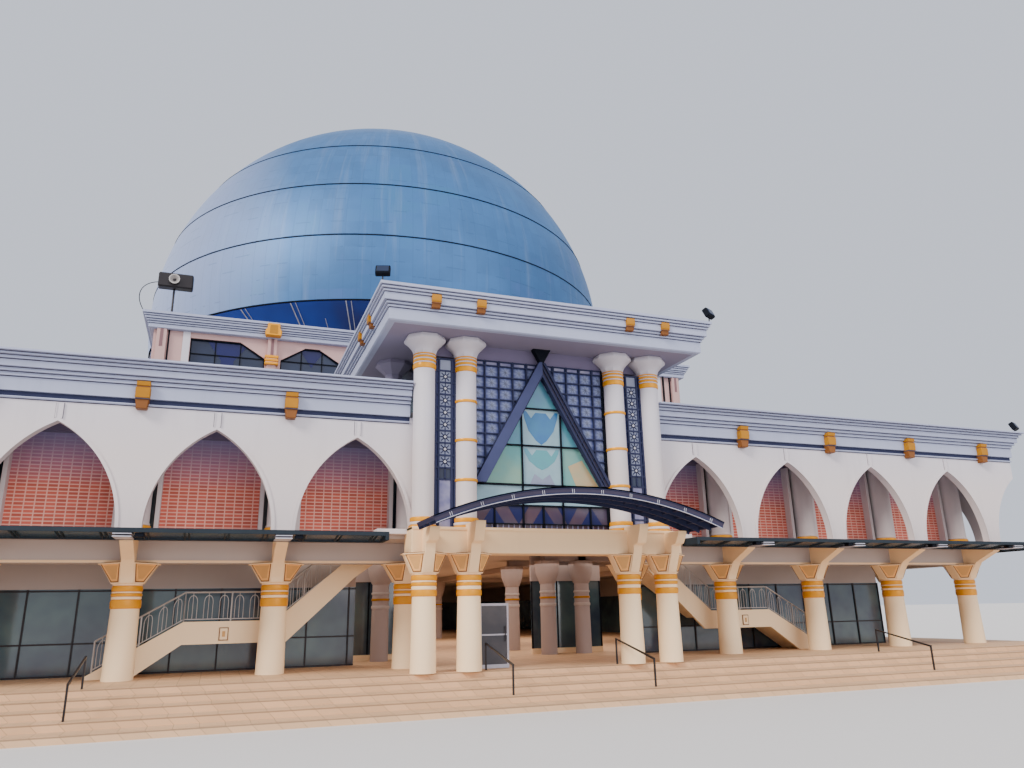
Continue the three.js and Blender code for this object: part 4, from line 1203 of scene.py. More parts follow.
def add_cornice(work, foot, steps, top, half_x, half_y, trim=None):
    """A stepped cornice around a rectangle, with a dark line under each step. A step is (outward, z,
    height of its lip), and a lip draws back above. trim cuts each ring where something breaks it."""
    profile = list(foot)
    rings = []
    for out, z, lip in steps:
        before = profile[-1][0]
        rings.append((shadow_profile(before, z - SHADOW_HIGH), "shadow_line"))
        profile += [(before, z), (out, z)]
        if lip:
            profile += [(out, z + lip), (out - 0.02, z + lip + 0.01)]
    profile += [(profile[-1][0], top), (0, top)]
    for outline, finish in [(profile, "shaded_trim_paint"), *rings]:
        ring = ring_shape(outline, half_x, half_y)
        work.add(trim(ring) if trim else ring, finish)


def build_parapet():
    """Stepped parapet over the arches, with a navy stripe and a ridge below it."""
    work = Workpiece()
    face = ARCADE_THICK
    half_x = HALF_WIDTH + ARCADE_LINE
    half_y = HALF_DEPTH + ARCADE_LINE

    def trim(ring):
        return opened(ring, PARAPET_GAP)

    foot = [(0, WALL_TOP), (face, WALL_TOP), (face, 9.36), (face + 0.1, 9.36)]
    steps = (
        (0.17, 9.8, 0.05), (0.25, 9.93, 0.05), (0.34, 10.05, 0), (0.42, 10.27, 0.04), (0.51, 10.38, 0.04),
        (0.62, 10.47, 0),
    )
    steps = [(face + out, z, lip) for out, z, lip in steps]
    add_cornice(work, foot, steps, PARAPET_TOP, half_x, half_y, trim)
    stripe = rectangle(face - 0.02, face + 0.02, 9.215, 9.35)
    ridge = [
        (face - 0.02, 9.14), (face + 0.05, 9.14), (face + 0.07, 9.17), (face + 0.05, 9.2), (face - 0.02, 9.2),
    ]
    for profile, finish in (
        (stripe, "navy_paint"), (ridge, "shaded_trim_paint"), (shadow_profile(face, 9.11), "shadow_line"),
    ):
        work.add(trim(ring_shape(profile, half_x, half_y)), finish)
    work.finish("parapet_mouldings", "white_render", "parapet", smooth=20)


def scupper():
    """A gold spout block with a cap, a dark collar and a tapered foot over the navy stripe."""
    work = Workpiece()
    cap = [(0.05, 9.72), (0.4, 9.72), (0.43, 9.86), (0.05, 9.86)]
    block = [(0.05, 9.33), (0.4, 9.33), (0.42, 9.67), (0.05, 9.67)]
    taper = both_sides([(0.16, 9.0), (0.2, 9.31)])
    work.add(bevelled(side_shape(cap, -0.2, 0.2), 0.015), "deep_gold")
    work.add(side_shape(rectangle(0.05, 0.37, 9.66, 9.73), -0.19, 0.19), "bronze_line")
    work.add(bevelled(side_shape(block, -0.215, 0.215), 0.02), "deep_gold")
    work.add(side_shape(rectangle(0.05, 0.38, 9.3, 9.335), -0.2, 0.2), "shadow_line")
    work.add(bevelled(prism_shape(taper, -0.34, -0.04), 0.02), "spout_brown")
    return work


def build_scuppers():
    """A spout over each column, apart from the portico's."""
    work = Workpiece()
    places = []
    for side in SIDES:
        line = -(SIDES[side][1] + ARCADE_LINE + ARCADE_THICK - 0.05)
        spots = [x for x in column_places(side) if side != "front" or abs(x) > BAY + 1]
        places += [turn(side) @ shift(x, line) for x in spots]
    work.repeat(scupper(), places)
    work.finish("roof_spouts", "cream_render")


# Portico


def lower_portico_column():
    """A portico column of the ground storey with its bands and capital."""
    work = Workpiece()
    work.add(turned_shape([(0, ON_FLOOR), (0.42, ON_FLOOR), (0.385, 3.24), (0, 3.24)]), "cream_paint")
    banded_neck(work, 0.39, (3.236, 3.444, 3.565, 3.68, 3.735, 3.91, 3.97), "cream_paint")
    panelled_capital(work, 3.96, PORTICO_BEAM_BASE + 0.01, 0.43, 0.72, 0.17)
    return work


def ear_bracket(arm_top):
    """The pier that leans out over a capital, steps back under the beam and ends in an ear."""
    outline = [
        (0.2, 3.97), (0.5, 3.97), (0.8, 4.63), (0.84, 4.88), (1.13, 4.94), (1.34, arm_top - 0.12),
        (1.36, arm_top), (0.2, arm_top),
    ]
    return bevelled(side_shape(outline, -0.17, 0.17), 0.012)


def bow_underside(x):
    """Height of the bowed canopy's underside at a distance from the middle."""
    return BOW_CENTRE + sqrt((BOW_RADIUS - BOW_THICK) ** 2 - x**2)


def tulip_column(rings):
    """A round upper column with gold bands on its base and under an octagonal tulip head."""
    work = Workpiece()
    radius = 0.38
    foot, top = PORTICO_FLOOR - 0.02, CANOPY_BASE - SEAT
    work.add(turned_shape([(0, foot), (radius, foot), (radius, 11.04), (0, 11.04)]), "white_paint")
    banded_neck(work, radius, (11.02, 11.22, 11.27, 11.36, 11.41, 11.49, 11.53, 11.58), "white_paint")
    head = [
        (0, 11.57), (radius + 0.02, 11.57), (radius + 0.04, 11.66), (radius + 0.09, 11.77), (0.59, 11.91),
        (0.735, 12.03), (0.755, 12.08), (0.755, 12.12), (0.7, top - 0.01), (0.68, top), (0, top),
    ]
    work.add(turned_shape(head, 8), "white_paint")
    for z in rings:
        work.add(round_band(z - 0.055, z + 0.055, radius, 0.035), "gold_paint")
    base = ON_PORTICO_FLOOR
    work.add(band_shape(base, base + 0.1, radius + 0.1, 8), "gold_paint")
    work.add(band_shape(base + 0.1, base + 0.2, radius + 0.07), "white_paint")
    work.add(round_band(base + 0.2, base + 0.36, radius + 0.02, 0.035), "gold_paint")
    return work


def build_portico_frame():
    """Portico columns of both storeys and the beam between them."""
    work = Workpiece()
    work.repeat(lower_portico_column(), [shift(x, PORTICO_LOWER_Y) for x in PORTICO_X])
    half = 5.05
    front, back = PORTICO_BEAM_FRONT, FRONT_Y - OVERHANG - 0.04 - SEAT
    beam = box_shape(-half, half, front, back, PORTICO_BEAM_BASE, PORTICO_FLOOR)
    work.add(bevelled(beam, 0.015), "cream_paint")
    lip = box_shape(-half, half, front - 0.03, back, PORTICO_FLOOR - 0.09, PORTICO_FLOOR - 0.02)
    work.add(lip, "cream_paint")
    for x in PORTICO_X:
        inner = abs(x) < 4
        arm_top = PORTICO_FLOOR + 0.13 if inner else bow_underside(abs(x) + 0.17) - SEAT
        work.add(ear_bracket(arm_top), "cream_paint", [shift(x, PORTICO_LOWER_Y)])
        rings = (7.11, 8.514, 9.927) if inner else ()
        work.repeat(tulip_column(rings), [shift(x, PORTICO_UPPER_Y)])
    work.finish("portico_columns", "cream_render", "portico_frame")


def build_canopy():
    """High roof over the portico: moulded cornice and gold brackets."""
    work = Workpiece()
    half_x, half_y = 5.9, 32.86

    def trim(ring):
        return cut_away(ring, -BLOCK_HALF_DEPTH - SEAT)

    foot = [(0, CANOPY_BASE), (0.2, CANOPY_BASE), (0.25, 12.28)]
    steps = (
        (0.31, 12.7, 0.045), (0.37, 12.8, 0.045), (0.45, 12.9, 0), (0.51, 13.17, 0.045),
        (0.57, 13.27, 0.045), (0.62, 13.37, 0),
    )
    add_cornice(work, foot, steps, CANOPY_TOP, half_x, half_y, trim)
    spots = [shift(x, -half_y) for x in (-4.56, -2.93, 2.95, 4.46)]
    for along in (30.68, 28.74):
        spots += [turn("left") @ shift(along, -half_x), turn("right") @ shift(-along, -half_x)]
    block = [(0.1, 12.93), (0.52, 12.93), (0.56, 12.98), (0.56, 13.22), (0.1, 13.22)]
    neck = [(0.1, 12.76), (0.46, 12.76), (0.5, 12.93), (0.1, 12.93)]
    work.add(bevelled(side_shape(block, -0.17, 0.17), 0.012), "deep_gold", spots)
    work.add(bevelled(side_shape(neck, -0.15, 0.15), 0.01), "spout_brown", spots)
    work.add(side_shape(rectangle(0.1, 0.535, 12.915, 12.94), -0.175, 0.175), "bronze_line", spots)
    work.finish("canopy_mouldings", "white_render", "canopy_cornice", smooth=20)


def bow_strip(outer, inner):
    """(x, z) outline of a curved strip, its edges given as depths below the bow's top."""
    steps = 48

    def edge(radius):
        angles = [BOW_ANGLE * (2 * i / steps - 1) for i in range(steps + 1)]
        return [(radius * sin(angle), BOW_CENTRE + radius * cos(angle)) for angle in angles]

    return edge(BOW_RADIUS - outer) + edge(BOW_RADIUS - inner)[::-1]


def build_bow():
    """Bowed canopy: thin curved sheet, front fascia with a pale lower line, ribs and cross beams."""
    work = Workpiece()
    front = BOW_FRONT
    strips = [
        (0.0, 0.04, front, BOW_BACK, "bow_paint"),
        (0.04, BOW_THICK - 0.03, front + 0.02, front + 0.05, "bow_paint"),
        (0.0, 0.06, front, front + 0.06, "navy_paint"),
        (BOW_THICK - 0.06, BOW_THICK - 0.02, front, front + 0.06, "navy_paint"),
        (BOW_THICK - 0.02, BOW_THICK, front, front + 0.03, "pale_line"),
    ]
    for y in (front + 0.7, front + 1.4, BOW_BACK - 0.06):
        strips.append((0.04, BOW_THICK, y, y + 0.06, "navy_paint"))
    for outer, inner, y0, y1, finish in strips:
        work.add(prism_shape(bow_strip(outer, inner), y0, y1), finish)
    ribs = 20
    for i in range(ribs + 1):
        spot = shift(z=BOW_CENTRE) @ Matrix.Rotation(BOW_ANGLE * 0.995 * (2 * i / ribs - 1), 4, "Y")
        rib = box_shape(-0.025, 0.025, front + 0.04, BOW_BACK, BOW_RADIUS - 0.15, BOW_RADIUS - 0.03)
        work.add(rib, "navy_paint", [spot])
    ticks = 10
    for i in range(ticks):
        tilt = BOW_ANGLE * (2 * (i + 0.5) / ticks - 1)
        for lean in (-0.002, 0.003):
            spot = shift(z=BOW_CENTRE) @ Matrix.Rotation(tilt + lean, 4, "Y")
            bar = box_shape(-0.006, 0.006, front, front + 0.04, BOW_RADIUS - BOW_THICK, BOW_RADIUS - 0.08)
            work.add(bar, "pale_line", [spot])
    work.finish("bowed_canopy", "navy_paint", "bow_canopy")


# Entrance window

TRIANGLE_APEX = 11.16
TRIANGLE_FOOT = 7.12
TRIANGLE_HALF = 2.3
PANE_X = 0.783
LOW_PANE_TOP = 6.35
PANE_ROWS = (TRIANGLE_FOOT, 8.55, 9.963, TRIANGLE_APEX)


def triangle_edge(z):
    """Half width of the glazed triangle at a height."""
    return TRIANGLE_HALF * (TRIANGLE_APEX - z) / (TRIANGLE_APEX - TRIANGLE_FOOT)


def shield_outline(half, low, high):
    """A broad shield with two notches in its upper edge."""
    top = high - 0.1
    tall = top - low
    side = [
        (0.3 * half, low + 0.12 * tall), (0.72 * half, low + 0.42 * tall), (0.95 * half, low + 0.8 * tall),
        (half, top), (0.82 * half, top), (0.55 * half, top - 0.26), (0.3 * half, top - 0.04),
    ]
    return [(0, low), *both_sides(side)]


def build_stained_panes(work, y):
    """Panes of the glazed triangle, with a shield in each middle pane."""
    low, middle, high, apex = PANE_ROWS
    wide_low, wide_middle, wide_high = triangle_edge(low), triangle_edge(middle), triangle_edge(high)
    cross = TRIANGLE_APEX - PANE_X * (TRIANGLE_APEX - TRIANGLE_FOOT) / TRIANGLE_HALF
    slanted = [(PANE_X, low), (wide_low, low), (wide_middle, middle), (PANE_X, middle)]
    for finish, outline, places in (
        ("green_pane", slanted, BOTH_HALVES),
        ("pale_pane", rectangle(-PANE_X, PANE_X, low, middle), HERE),
        ("teal_pane", [(PANE_X, middle), (wide_middle, middle), (PANE_X, cross)], BOTH_HALVES),
        ("pale_pane", both_sides([(PANE_X, middle), (PANE_X, cross), (wide_high, high)]), HERE),
        ("teal_pane", [(-wide_high, high), (wide_high, high), (0, apex)], HERE),
    ):
        work.add(prism_shape(outline, y - 0.02, y + 0.01), finish, places)
    flame = [(-0.5, low), (0.5, low), (0.3, low + 0.4), (0.0, low + 0.2), (-0.3, low + 0.4)]
    for finish, outline, front in (
        ("blue_pane", shield_outline(0.7, middle + 0.06, high), 0.026),
        ("teal_pane", shield_outline(0.7, low + 0.55, middle), 0.026),
        ("amber_pane", [(1.35, low), (wide_low - 0.03, low), (1.62, 8.1), (1.05, 7.85)], 0.026),
        ("clear_pane", flame, 0.03),
    ):
        work.add(prism_shape(outline, y - front, y - 0.019), finish)


def build_low_panes(work, y):
    """Panes between the triangle and the portico floor: dark diamonds, and a ladder row at the foot."""
    base = ON_PORTICO_FLOOR
    half = FACADE_HALF
    work.add(box_shape(-half, half, y - 0.015, y + 0.01, LOW_PANE_TOP, 7.08), "pale_pane")
    work.add(box_shape(-half, half, y - 0.015, y + 0.01, base, LOW_PANE_TOP), "dusk_pane")
    wedge = [(-0.42, 5.72), (0.42, 5.72), (0, 6.34)]
    diamond = [(0, 5.68), (0.4, 6.32), (0, 6.34), (-0.4, 6.32)]
    for outline, columns in ((wedge, (-2, 0, 2)), (diamond, (-1, 1))):
        spots = [shift(column * 0.96) for column in columns]
        work.add(prism_shape(outline, y - 0.022, y - 0.01), "motif_pane", spots)
    ticks = 26
    for i in range(ticks):
        x = -half + 0.15 + i * (2 * half - 0.3) / (ticks - 1)
        work.add(box_shape(x - 0.02, x + 0.02, y - 0.04, y, base + 0.05, base + 0.22), "lilac_pane")


def build_lattice(work, y):
    """Bars and star bosses of the lattice on both sides of the triangle."""
    for side in (-1, 1):
        for i in range(1, 6):
            x = side * i * LATTICE_WIDE
            low = TRIANGLE_APEX - abs(x) * (TRIANGLE_APEX - TRIANGLE_FOOT) / TRIANGLE_HALF
            low = max(low, TRIANGLE_FOOT)
            work.add(box_shape(x - 0.025, x + 0.025, y - 0.09, y - 0.02, low, FACADE_TOP), "navy_paint")
        levels = [FACADE_TOP - 0.03] + [LATTICE_TOP - j * LATTICE_HIGH for j in range(11)]
        for z in levels:
            inner = max(0.08, triangle_edge(z)) if z < TRIANGLE_APEX else 0.0
            if z > TRIANGLE_FOOT and inner < FACADE_HALF:
                x0, x1 = sorted((side * inner, side * FACADE_HALF))
                work.add(box_shape(x0, x1, y - 0.085, y - 0.025, z - 0.022, z + 0.022), "navy_paint")
        for i in range(5):
            x = side * (i + 0.5) * LATTICE_WIDE
            for j in range(10):
                z = LATTICE_TOP - (j + 0.5) * LATTICE_HIGH
                if z > TRIANGLE_FOOT and abs(x) > triangle_edge(z) + 0.3:
                    add_star(work, x, z, y - 0.03)
            work.add(box_shape(x - 0.2, x + 0.2, y - 0.03, y - 0.01, 11.54, 11.66), "lilac_pane")


def add_star(work, x, z, y):
    """A pale star of eight thin petals."""
    reach, half = 0.15, 0.013
    upper = [(-reach, 0), (-reach * 0.4, half), (reach * 0.4, half)]
    petal = upper + [(-px, -pz) for px, pz in upper]
    spots = [shift(x, y, z) @ Matrix.Rotation(i * pi / 4 + pi / 8, 4, "Y") for i in range(4)]
    work.add(prism_shape(petal, -0.008, 0.008), "clear_pane", spots)


def build_entrance_window():
    """Stained panes, lattices with stars, the bars between them and the header over them."""
    work = Workpiece()
    base = ON_PORTICO_FLOOR
    half = FACADE_HALF
    y = GLASS_Y
    work.add(box_shape(-half, half, y, y + 0.05, base, FACADE_TOP), "star_panes")
    build_stained_panes(work, y)
    build_low_panes(work, y)
    level_bars = (
        (half, 7.06, 7.13), (half, 6.32, 6.38), (half, base, base + 0.06), (half, base + 0.22, base + 0.26),
        (1.62, 8.52, 8.58), (0.9, 9.935, 9.99), (0.03, base, LOW_PANE_TOP),
    )
    for reach, z0, z1 in level_bars:
        work.add(box_shape(-reach, reach, y - 0.09, y, z0, z1), "black_paint")
    side_bars = (
        (half - 0.17, half, FACADE_TOP), (PANE_X - 0.028, PANE_X + 0.028, 9.8), (1.85, 1.9, LOW_PANE_TOP),
    )
    for x0, x1, top in side_bars:
        work.add(box_shape(x0, x1, y - 0.09, y, base, top), "black_paint", BOTH_HALVES)
    build_lattice(work, y)
    work.add(box_shape(-4.2, 4.2, y + 0.02, y + 0.2, FACADE_TOP, CANOPY_BASE - SEAT), "gallery_shade")
    work.finish("entrance_window", "clear_glass", "facade_glass")


def build_a_frame():
    """Steel A-frame in front of the panes: two deep flanges a leg with webs, and the inverted foot above."""
    work = Workpiece()
    front, back = -31.7, GLASS_Y - 0.1
    foot, top = 7.1, 11.72
    outer_apex, inner_apex = 11.95, TRIANGLE_APEX
    outer_half, inner_half = 2.7, 2.26
    flange = 0.06

    def outer_x(z):
        return outer_half * (outer_apex - z) / (outer_apex - foot)

    def inner_x(z):
        return inner_half * (inner_apex - z) / (inner_apex - foot)

    outer_top = outer_x(top)
    outer = [(outer_half, foot), (outer_half - 0.12, foot), (outer_top - 0.09, top), (outer_top, top)]
    inner = [(inner_half + 0.09, foot), (inner_half, foot), (0.0, inner_apex), (0.0, inner_apex + 0.16)]
    web = [
        (outer_half - flange, foot), (inner_half + flange, foot), (0.0, inner_apex + 0.08), (0.0, top),
        (outer_top - 0.03, top),
    ]
    centre_line = [
        (outer_half - 0.24, foot), (outer_half - 0.28, foot), (0.0, inner_apex + 0.38),
        (0.0, inner_apex + 0.46),
    ]
    for outline, y0, y1, finish in (
        (outer, front, back, "navy_paint"),
        (inner, front, back, "navy_paint"),
        (web, front + 0.08, front + 0.12, "bow_paint"),
        (centre_line, front + 0.02, front + 0.12, "navy_paint"),
    ):
        work.add(prism_shape(outline, y0, y1), finish, BOTH_HALVES)
    rungs = 11
    for i in range(rungs):
        z = foot + 0.15 + (inner_apex - foot - 0.3) * i / rungs
        x = inner_x(z) + 0.04
        end = (outer_x(z + 0.3) - 0.04, front + 0.05, z + 0.3)
        work.add(rod_shape((x, front + 0.05, z), end, 0.018, 6), "navy_paint", BOTH_HALVES)
        if i % 2:
            spark = box_shape(x + 0.08, x + 0.12, front + 0.08, front + 0.1, z + 0.05, z + 0.2)
            work.add(spark, "pale_line", BOTH_HALVES)
    plate = [(-outer_half, foot), (-inner_half, foot), (0.0, inner_apex + 0.1), (0.0, top), (-outer_top, top)]
    work.add(bevelled(prism_shape(plate, front - 0.03, front - 0.01), 0.006), "frame_plate")
    head = [(0.0, 11.6), *both_sides([(0.07, top), (0.36, CANOPY_BASE - SEAT)])]
    work.add(bevelled(prism_shape(head, front - 0.02, back), 0.01), "black_paint")
    work.finish("a_frame", "navy_paint", "facade_frame")


def build_side_screens():
    """Ladder screens between the paired columns: starred squares, a divided row and a tall pane."""
    work = Workpiece()
    y = PORTICO_UPPER_Y
    base, top = ON_PORTICO_FLOOR, 11.5
    x0, x1 = -4.15, -3.38
    middle = (x0 + x1) / 2
    left, right = middle - 0.2, middle + 0.2
    pitch = 0.44
    squares = 9
    ladder_foot = top - pitch * squares
    divided = ladder_foot - 0.4
    boxes = [
        (x0, left, y + 0.005, y + 0.03, base, top, "motif_pane"),
        (right, x1, y + 0.005, y + 0.03, base, top, "motif_pane"),
        (left, middle - 0.03, y - 0.01, y + 0.01, divided, ladder_foot, "slate_pane"),
        (middle + 0.03, right, y - 0.01, y + 0.01, divided, ladder_foot, "slate_pane"),
        (middle - 0.03, middle + 0.03, y - 0.04, y + 0.03, divided, ladder_foot, "navy_paint"),
        (left, right, y - 0.01, y + 0.01, base, divided, "lilac_pane"),
    ]
    for x in (x0 + 0.03, x1 - 0.03, left - 0.03, right + 0.03):
        boxes.append((x - 0.03, x + 0.03, y - 0.05, y + 0.04, base, top, "navy_paint"))
    for z in [top - i * pitch for i in range(squares + 1)] + [divided, 5.9]:
        boxes.append((x0, x1, y - 0.04, y + 0.03, z - 0.03, z + 0.03, "navy_paint"))
    for i in range(squares):
        z = top - (i + 0.5) * pitch
        boxes.append((left, right, y - 0.012, y + 0.01, z - 0.19, z + 0.19, "clear_pane"))
    for *sizes, finish in boxes:
        work.add(box_shape(*sizes), finish, BOTH_HALVES)
    half_octagon = [(0.09, 0), (0.064, 0.064), (0, 0.09), (-0.064, 0.064)]
    octagon = half_octagon + [(-x, -z) for x, z in half_octagon]
    diamond = [(0.06, 0), (0, 0.06), (-0.06, 0), (0, -0.06)]
    for i in range(1, squares):
        spots = [half @ shift(middle, y, top - (i + 0.5) * pitch) for half in BOTH_HALVES]
        for angle in (-pi / 4, pi / 4, 0, pi / 2):
            rays = [spot @ Matrix.Rotation(angle, 4, "Y") for spot in spots]
            work.add(box_shape(-0.2, 0.2, -0.025, -0.005, -0.018, 0.018), "navy_paint", rays)
        work.add(prism_shape(octagon, -0.025, -0.007), "navy_paint", spots)
        work.add(prism_shape(diamond, -0.03, -0.02), "pale_line", spots)
    work.finish("side_ladders", "navy_paint", "side_screen_left", "side_screen_right")


# Block and dome

SLOPE_WIDE = 1.2
SLOPE_HIGH = 0.75
PILASTER_RING_Z = (14.77, 14.88, 14.94, 15.05, 15.11, 15.25)
LONG_SIDE = (-15.75, -11.25, -6.75, -2.25, 2.25, 6.75, 11.25, 15.75)
PILASTERS = {
    "front": (-14.3, -9.17, 9.17, 14.3),
    "right": LONG_SIDE,
    "back": (-14.3, -9.17, -4.7, 0, 4.7, 9.17, 14.3),
    "left": LONG_SIDE,
}


def block_windows(side):
    """Windows of one side of the block, as (x0, x1, slopes at the left, slopes at the right)."""
    if side in ("left", "right"):
        return [(y - 1.8, y + 1.8, True, True) for y in (-13.5, -9, -4.5, 0, 4.5, 9, 13.5)]
    left = [(-13.0, -9.48, False, True), (-8.73, -5.63, True, True)]
    middle = [(-4.15, -0.55, True, True)] if side == "back" else []
    half = left + middle
    return half + [(-x1, -x0, slopes1, slopes0) for x0, x1, slopes0, slopes1 in half]


def window_outline(x0, x1, slopes0, slopes1, inset=0.0):
    """(x, z) outline of a block window, its upper corners sloped where a pilaster flares beside it."""
    low, high = BLOCK_SILL + inset, BLOCK_HEAD - inset
    trim = inset * 0.45
    points = [(x0 + inset, low), (x1 - inset, low)]
    if slopes1:
        points += [(x1 - inset, high - SLOPE_HIGH + trim), (x1 - SLOPE_WIDE + trim, high)]
    else:
        points.append((x1 - inset, high))
    if slopes0:
        points += [(x0 + SLOPE_WIDE - trim, high), (x0 + inset, high - SLOPE_HIGH + trim)]
    else:
        points.append((x0 + inset, high))
    return points


def build_block_trim():
    """Cornice of the block with its gold crowns."""
    work = Workpiece()
    half_x, half_y = 14.37, 18.15
    foot = [(0, BLOCK_EAVES), (0.5, BLOCK_EAVES), (0.55, 16.18)]
    steps = ((0.6, 16.38, 0.04), (0.66, 16.48, 0.04), (0.72, 16.58, 0), (0.78, 16.7, 0.04), (0.84, 16.8, 0))
    add_cornice(work, foot, steps, BLOCK_TOP, half_x, half_y)
    crown = both_sides([(0.38, 16.2), (0.4, 16.44), (0.3, 16.6), (0.3, 16.84)])
    inlay = both_sides([(0.2, 16.3), (0.18, 16.74)])
    for side in SIDES:
        wide = side in ("front", "back")
        out = half_y if wide else half_x
        crowned = (-9.17, 9.17) if wide else (-11.25, -2.25, 2.25, 11.25)
        spots = [turn(side) @ shift(x, -out) for x in crowned]
        work.add(bevelled(prism_shape(crown, -0.94, -0.45), 0.03), "gold_paint", spots)
        work.add(prism_shape(inlay, -0.955, -0.93), "deep_gold", spots)
    work.finish("block_mouldings", "white_render", "block_cornice", smooth=20)


def add_block_window(work, window, tall_motif, spot):
    """One window's frame, pane, dark motif and bars."""
    x0, x1 = window[:2]
    outer = window_outline(*window)
    inner = window_outline(*window, 0.06)
    for i in range(len(outer)):
        j = (i + 1) % len(outer)
        work.add(prism_shape([outer[i], outer[j], inner[j], inner[i]], 0.08, 0.2), "black_paint", [spot])
    work.add(prism_shape(window_outline(*window, 0.03), 0.18, 0.21), "slate_pane", [spot])
    middle = (x0 + x1) / 2
    motif_head = BLOCK_HEAD - 0.08
    motif = [(0, 14.9), (0.6, motif_head), (-0.6, motif_head)]
    if tall_motif:
        motif = both_sides([(0.3, BLOCK_SILL), (0.3, 14.9), (0.95, motif_head)])
    work.add(prism_shape(motif, 0.165, 0.181), "motif_pane", [spot @ shift(middle)])
    third = (x1 - x0) / 3
    for x in (x0 + third, x1 - third):
        bar = box_shape(x - 0.025, x + 0.025, 0.13, 0.18, BLOCK_SILL, BLOCK_HEAD - 0.03)
        work.add(bar, "black_paint", [spot])
    for z in (12.6, 13.9, 15.12):
        work.add(box_shape(x0, x1, 0.13, 0.18, z - 0.025, z + 0.025), "black_paint", [spot])


def build_block_windows():
    """Frames, panes and bars of the block's windows, rings on its pilasters and its corner trims."""
    work = Workpiece()
    for side in SIDES:
        wide = side in ("front", "back")
        spot = turn(side) @ shift(y=-(BLOCK_HALF_DEPTH if wide else BLOCK_HALF_WIDTH))
        windows = block_windows(side)
        last = len(windows) - 1
        for number, window in enumerate(windows):
            add_block_window(work, window, number in (0, last), spot)
        for x in PILASTERS[side]:
            place = [spot @ shift(x)]
            stripe = box_shape(-0.07, 0.07, -0.215, -0.19, 15.25, BLOCK_EAVES - SEAT)
            work.add(stripe, "pilaster_stripe", place)
            if abs(x) > 14:
                continue
            for i, (z0, z1) in enumerate(zip(PILASTER_RING_Z, PILASTER_RING_Z[1:])):
                half, finish = (0.33, "gold_paint") if i % 2 == 0 else (0.29, "cream_paint")
                ring = bevelled(box_shape(-half, half, -half, 0.0, z0, z1), 0.025)
                work.add(ring, finish, place)
        if wide:
            for x0, x1, finish in ((-13.35, -13.02, "white_paint"), (-14.02, -13.95, "black_paint")):
                trim = box_shape(x0, x1, -0.06, 0.0, BLOCK_SILL, BLOCK_EAVES - SEAT)
                work.add(trim, finish, [spot, spot @ MIRROR])
    work.finish("block_windows", "navy_paint")


def build_drum():
    """Flared window ring under the dome, with paired mullions and level rails."""
    work = Workpiece()
    foot, head = DRUM_FOOT + SEAT, DOME_RIM - SEAT
    low, thick = DRUM_FOOT_RADIUS, 0.14
    high = DOME_RIM_RADIUS - 0.08
    sides = 96
    pane = [(low - thick, foot), (low, foot), (high, head), (high - thick, head)]
    work.add(turned_ring(pane, sides), "drum_pane")

    def at(z):
        return low + (high - low) / (head - foot) * (z - foot)

    bays = 32
    swing = 0.08
    bars = (
        (0, -0.009, 0.015, foot, head, 0.032), (0, 0.009, 0.015, foot, head, 0.02),
        (0.5, 0, 0.01, 18.6, 19.3, 0.018),
    )
    for i in range(bays):
        for share, lean, proud, z0, z1, radius in bars:
            spot = Matrix.Rotation(2 * pi * (i + share) / bays + swing + lean, 4, "Z")
            top = min(z1, head - 0.03)
            bar = rod_shape((at(z0) + proud, 0, z0), (at(z1) + proud, 0, top), radius, 6)
            work.add(bar, "pale_line", [spot])
    for z, half, finish in ((18.35, 0.02, "pale_line"), (17.6, 0.03, "navy_paint")):
        inner = at(z) - 0.05
        rail = [(inner, z - half), (at(z) + 0.025, z - half), (at(z) + 0.05, z + half), (inner, z + half)]
        work.add(turned_ring(rail, sides), finish)
    work.add(turned_ring(rectangle(low - 0.3, low + 0.12, foot, foot + 0.12), sides), "navy_paint")
    work.finish("drum_windows", "clear_glass", "drum_glass")


def build_dome():
    """Metal-clad shell with its three raised seams and thin dark rim."""
    work = Workpiece()
    sides = 128
    foot = DOME_RIM + SEAT
    rim_angle = asin((foot - DOME_CENTRE) / DOME_RADIUS)

    def arc(radius, rings):
        points = []
        for i in range(rings + 1):
            angle = rim_angle + (pi / 2 - rim_angle) * i / rings
            points.append((0.0 if i == rings else radius * cos(angle), DOME_CENTRE + radius * sin(angle)))
        points[0] = (points[0][0], foot)
        return points

    profile = list(reversed(arc(DOME_RADIUS - 0.3, 16))) + arc(DOME_RADIUS, 48)
    work.add(turned_shape(profile, sides), "dome_metal")
    for z in (24.05, 27.9, 31.9):
        tilt = asin((z - DOME_CENTRE) / DOME_RADIUS)
        half = 0.032 / DOME_RADIUS
        seam = [
            ((DOME_RADIUS + out) * cos(tilt + lean), DOME_CENTRE + (DOME_RADIUS + out) * sin(tilt + lean))
            for out, lean in rectangle(-0.02, 0.03, -half, half)
        ]
        work.add(turned_ring(seam, sides), "black_paint")
    rim = DOME_RIM_RADIUS
    edge = [(rim - 0.1, foot), (rim + 0.01, foot), (rim + 0.02, foot + 0.06), (rim - 0.02, foot + 0.07)]
    work.add(turned_ring(edge, sides), "black_paint")
    work.finish("dome_cladding", "dome_metal", "dome_shell", smooth=25)


# Lamps and poles on the roofs


def floodlight(work, x, y, z, yaw):
    """A small floodlight on a bracket that stands on a parapet."""
    place = shift(x, y, z) @ Matrix.Rotation(yaw, 4, "Z")
    work.add(rod_shape((0, 0, 0), (0, 0, 0.22), 0.025, 8), "dark_steel", [place])
    lamp = [place @ shift(z=0.36) @ Matrix.Rotation(radians(-25), 4, "X")]
    work.add(bevelled(box_shape(-0.25, 0.25, -0.11, 0.11, -0.19, 0.19), 0.03), "black_paint", lamp)
    work.add(bevelled(box_shape(-0.2, 0.2, -0.13, -0.1, -0.14, 0.14), 0.01), "slate_pane", lamp)


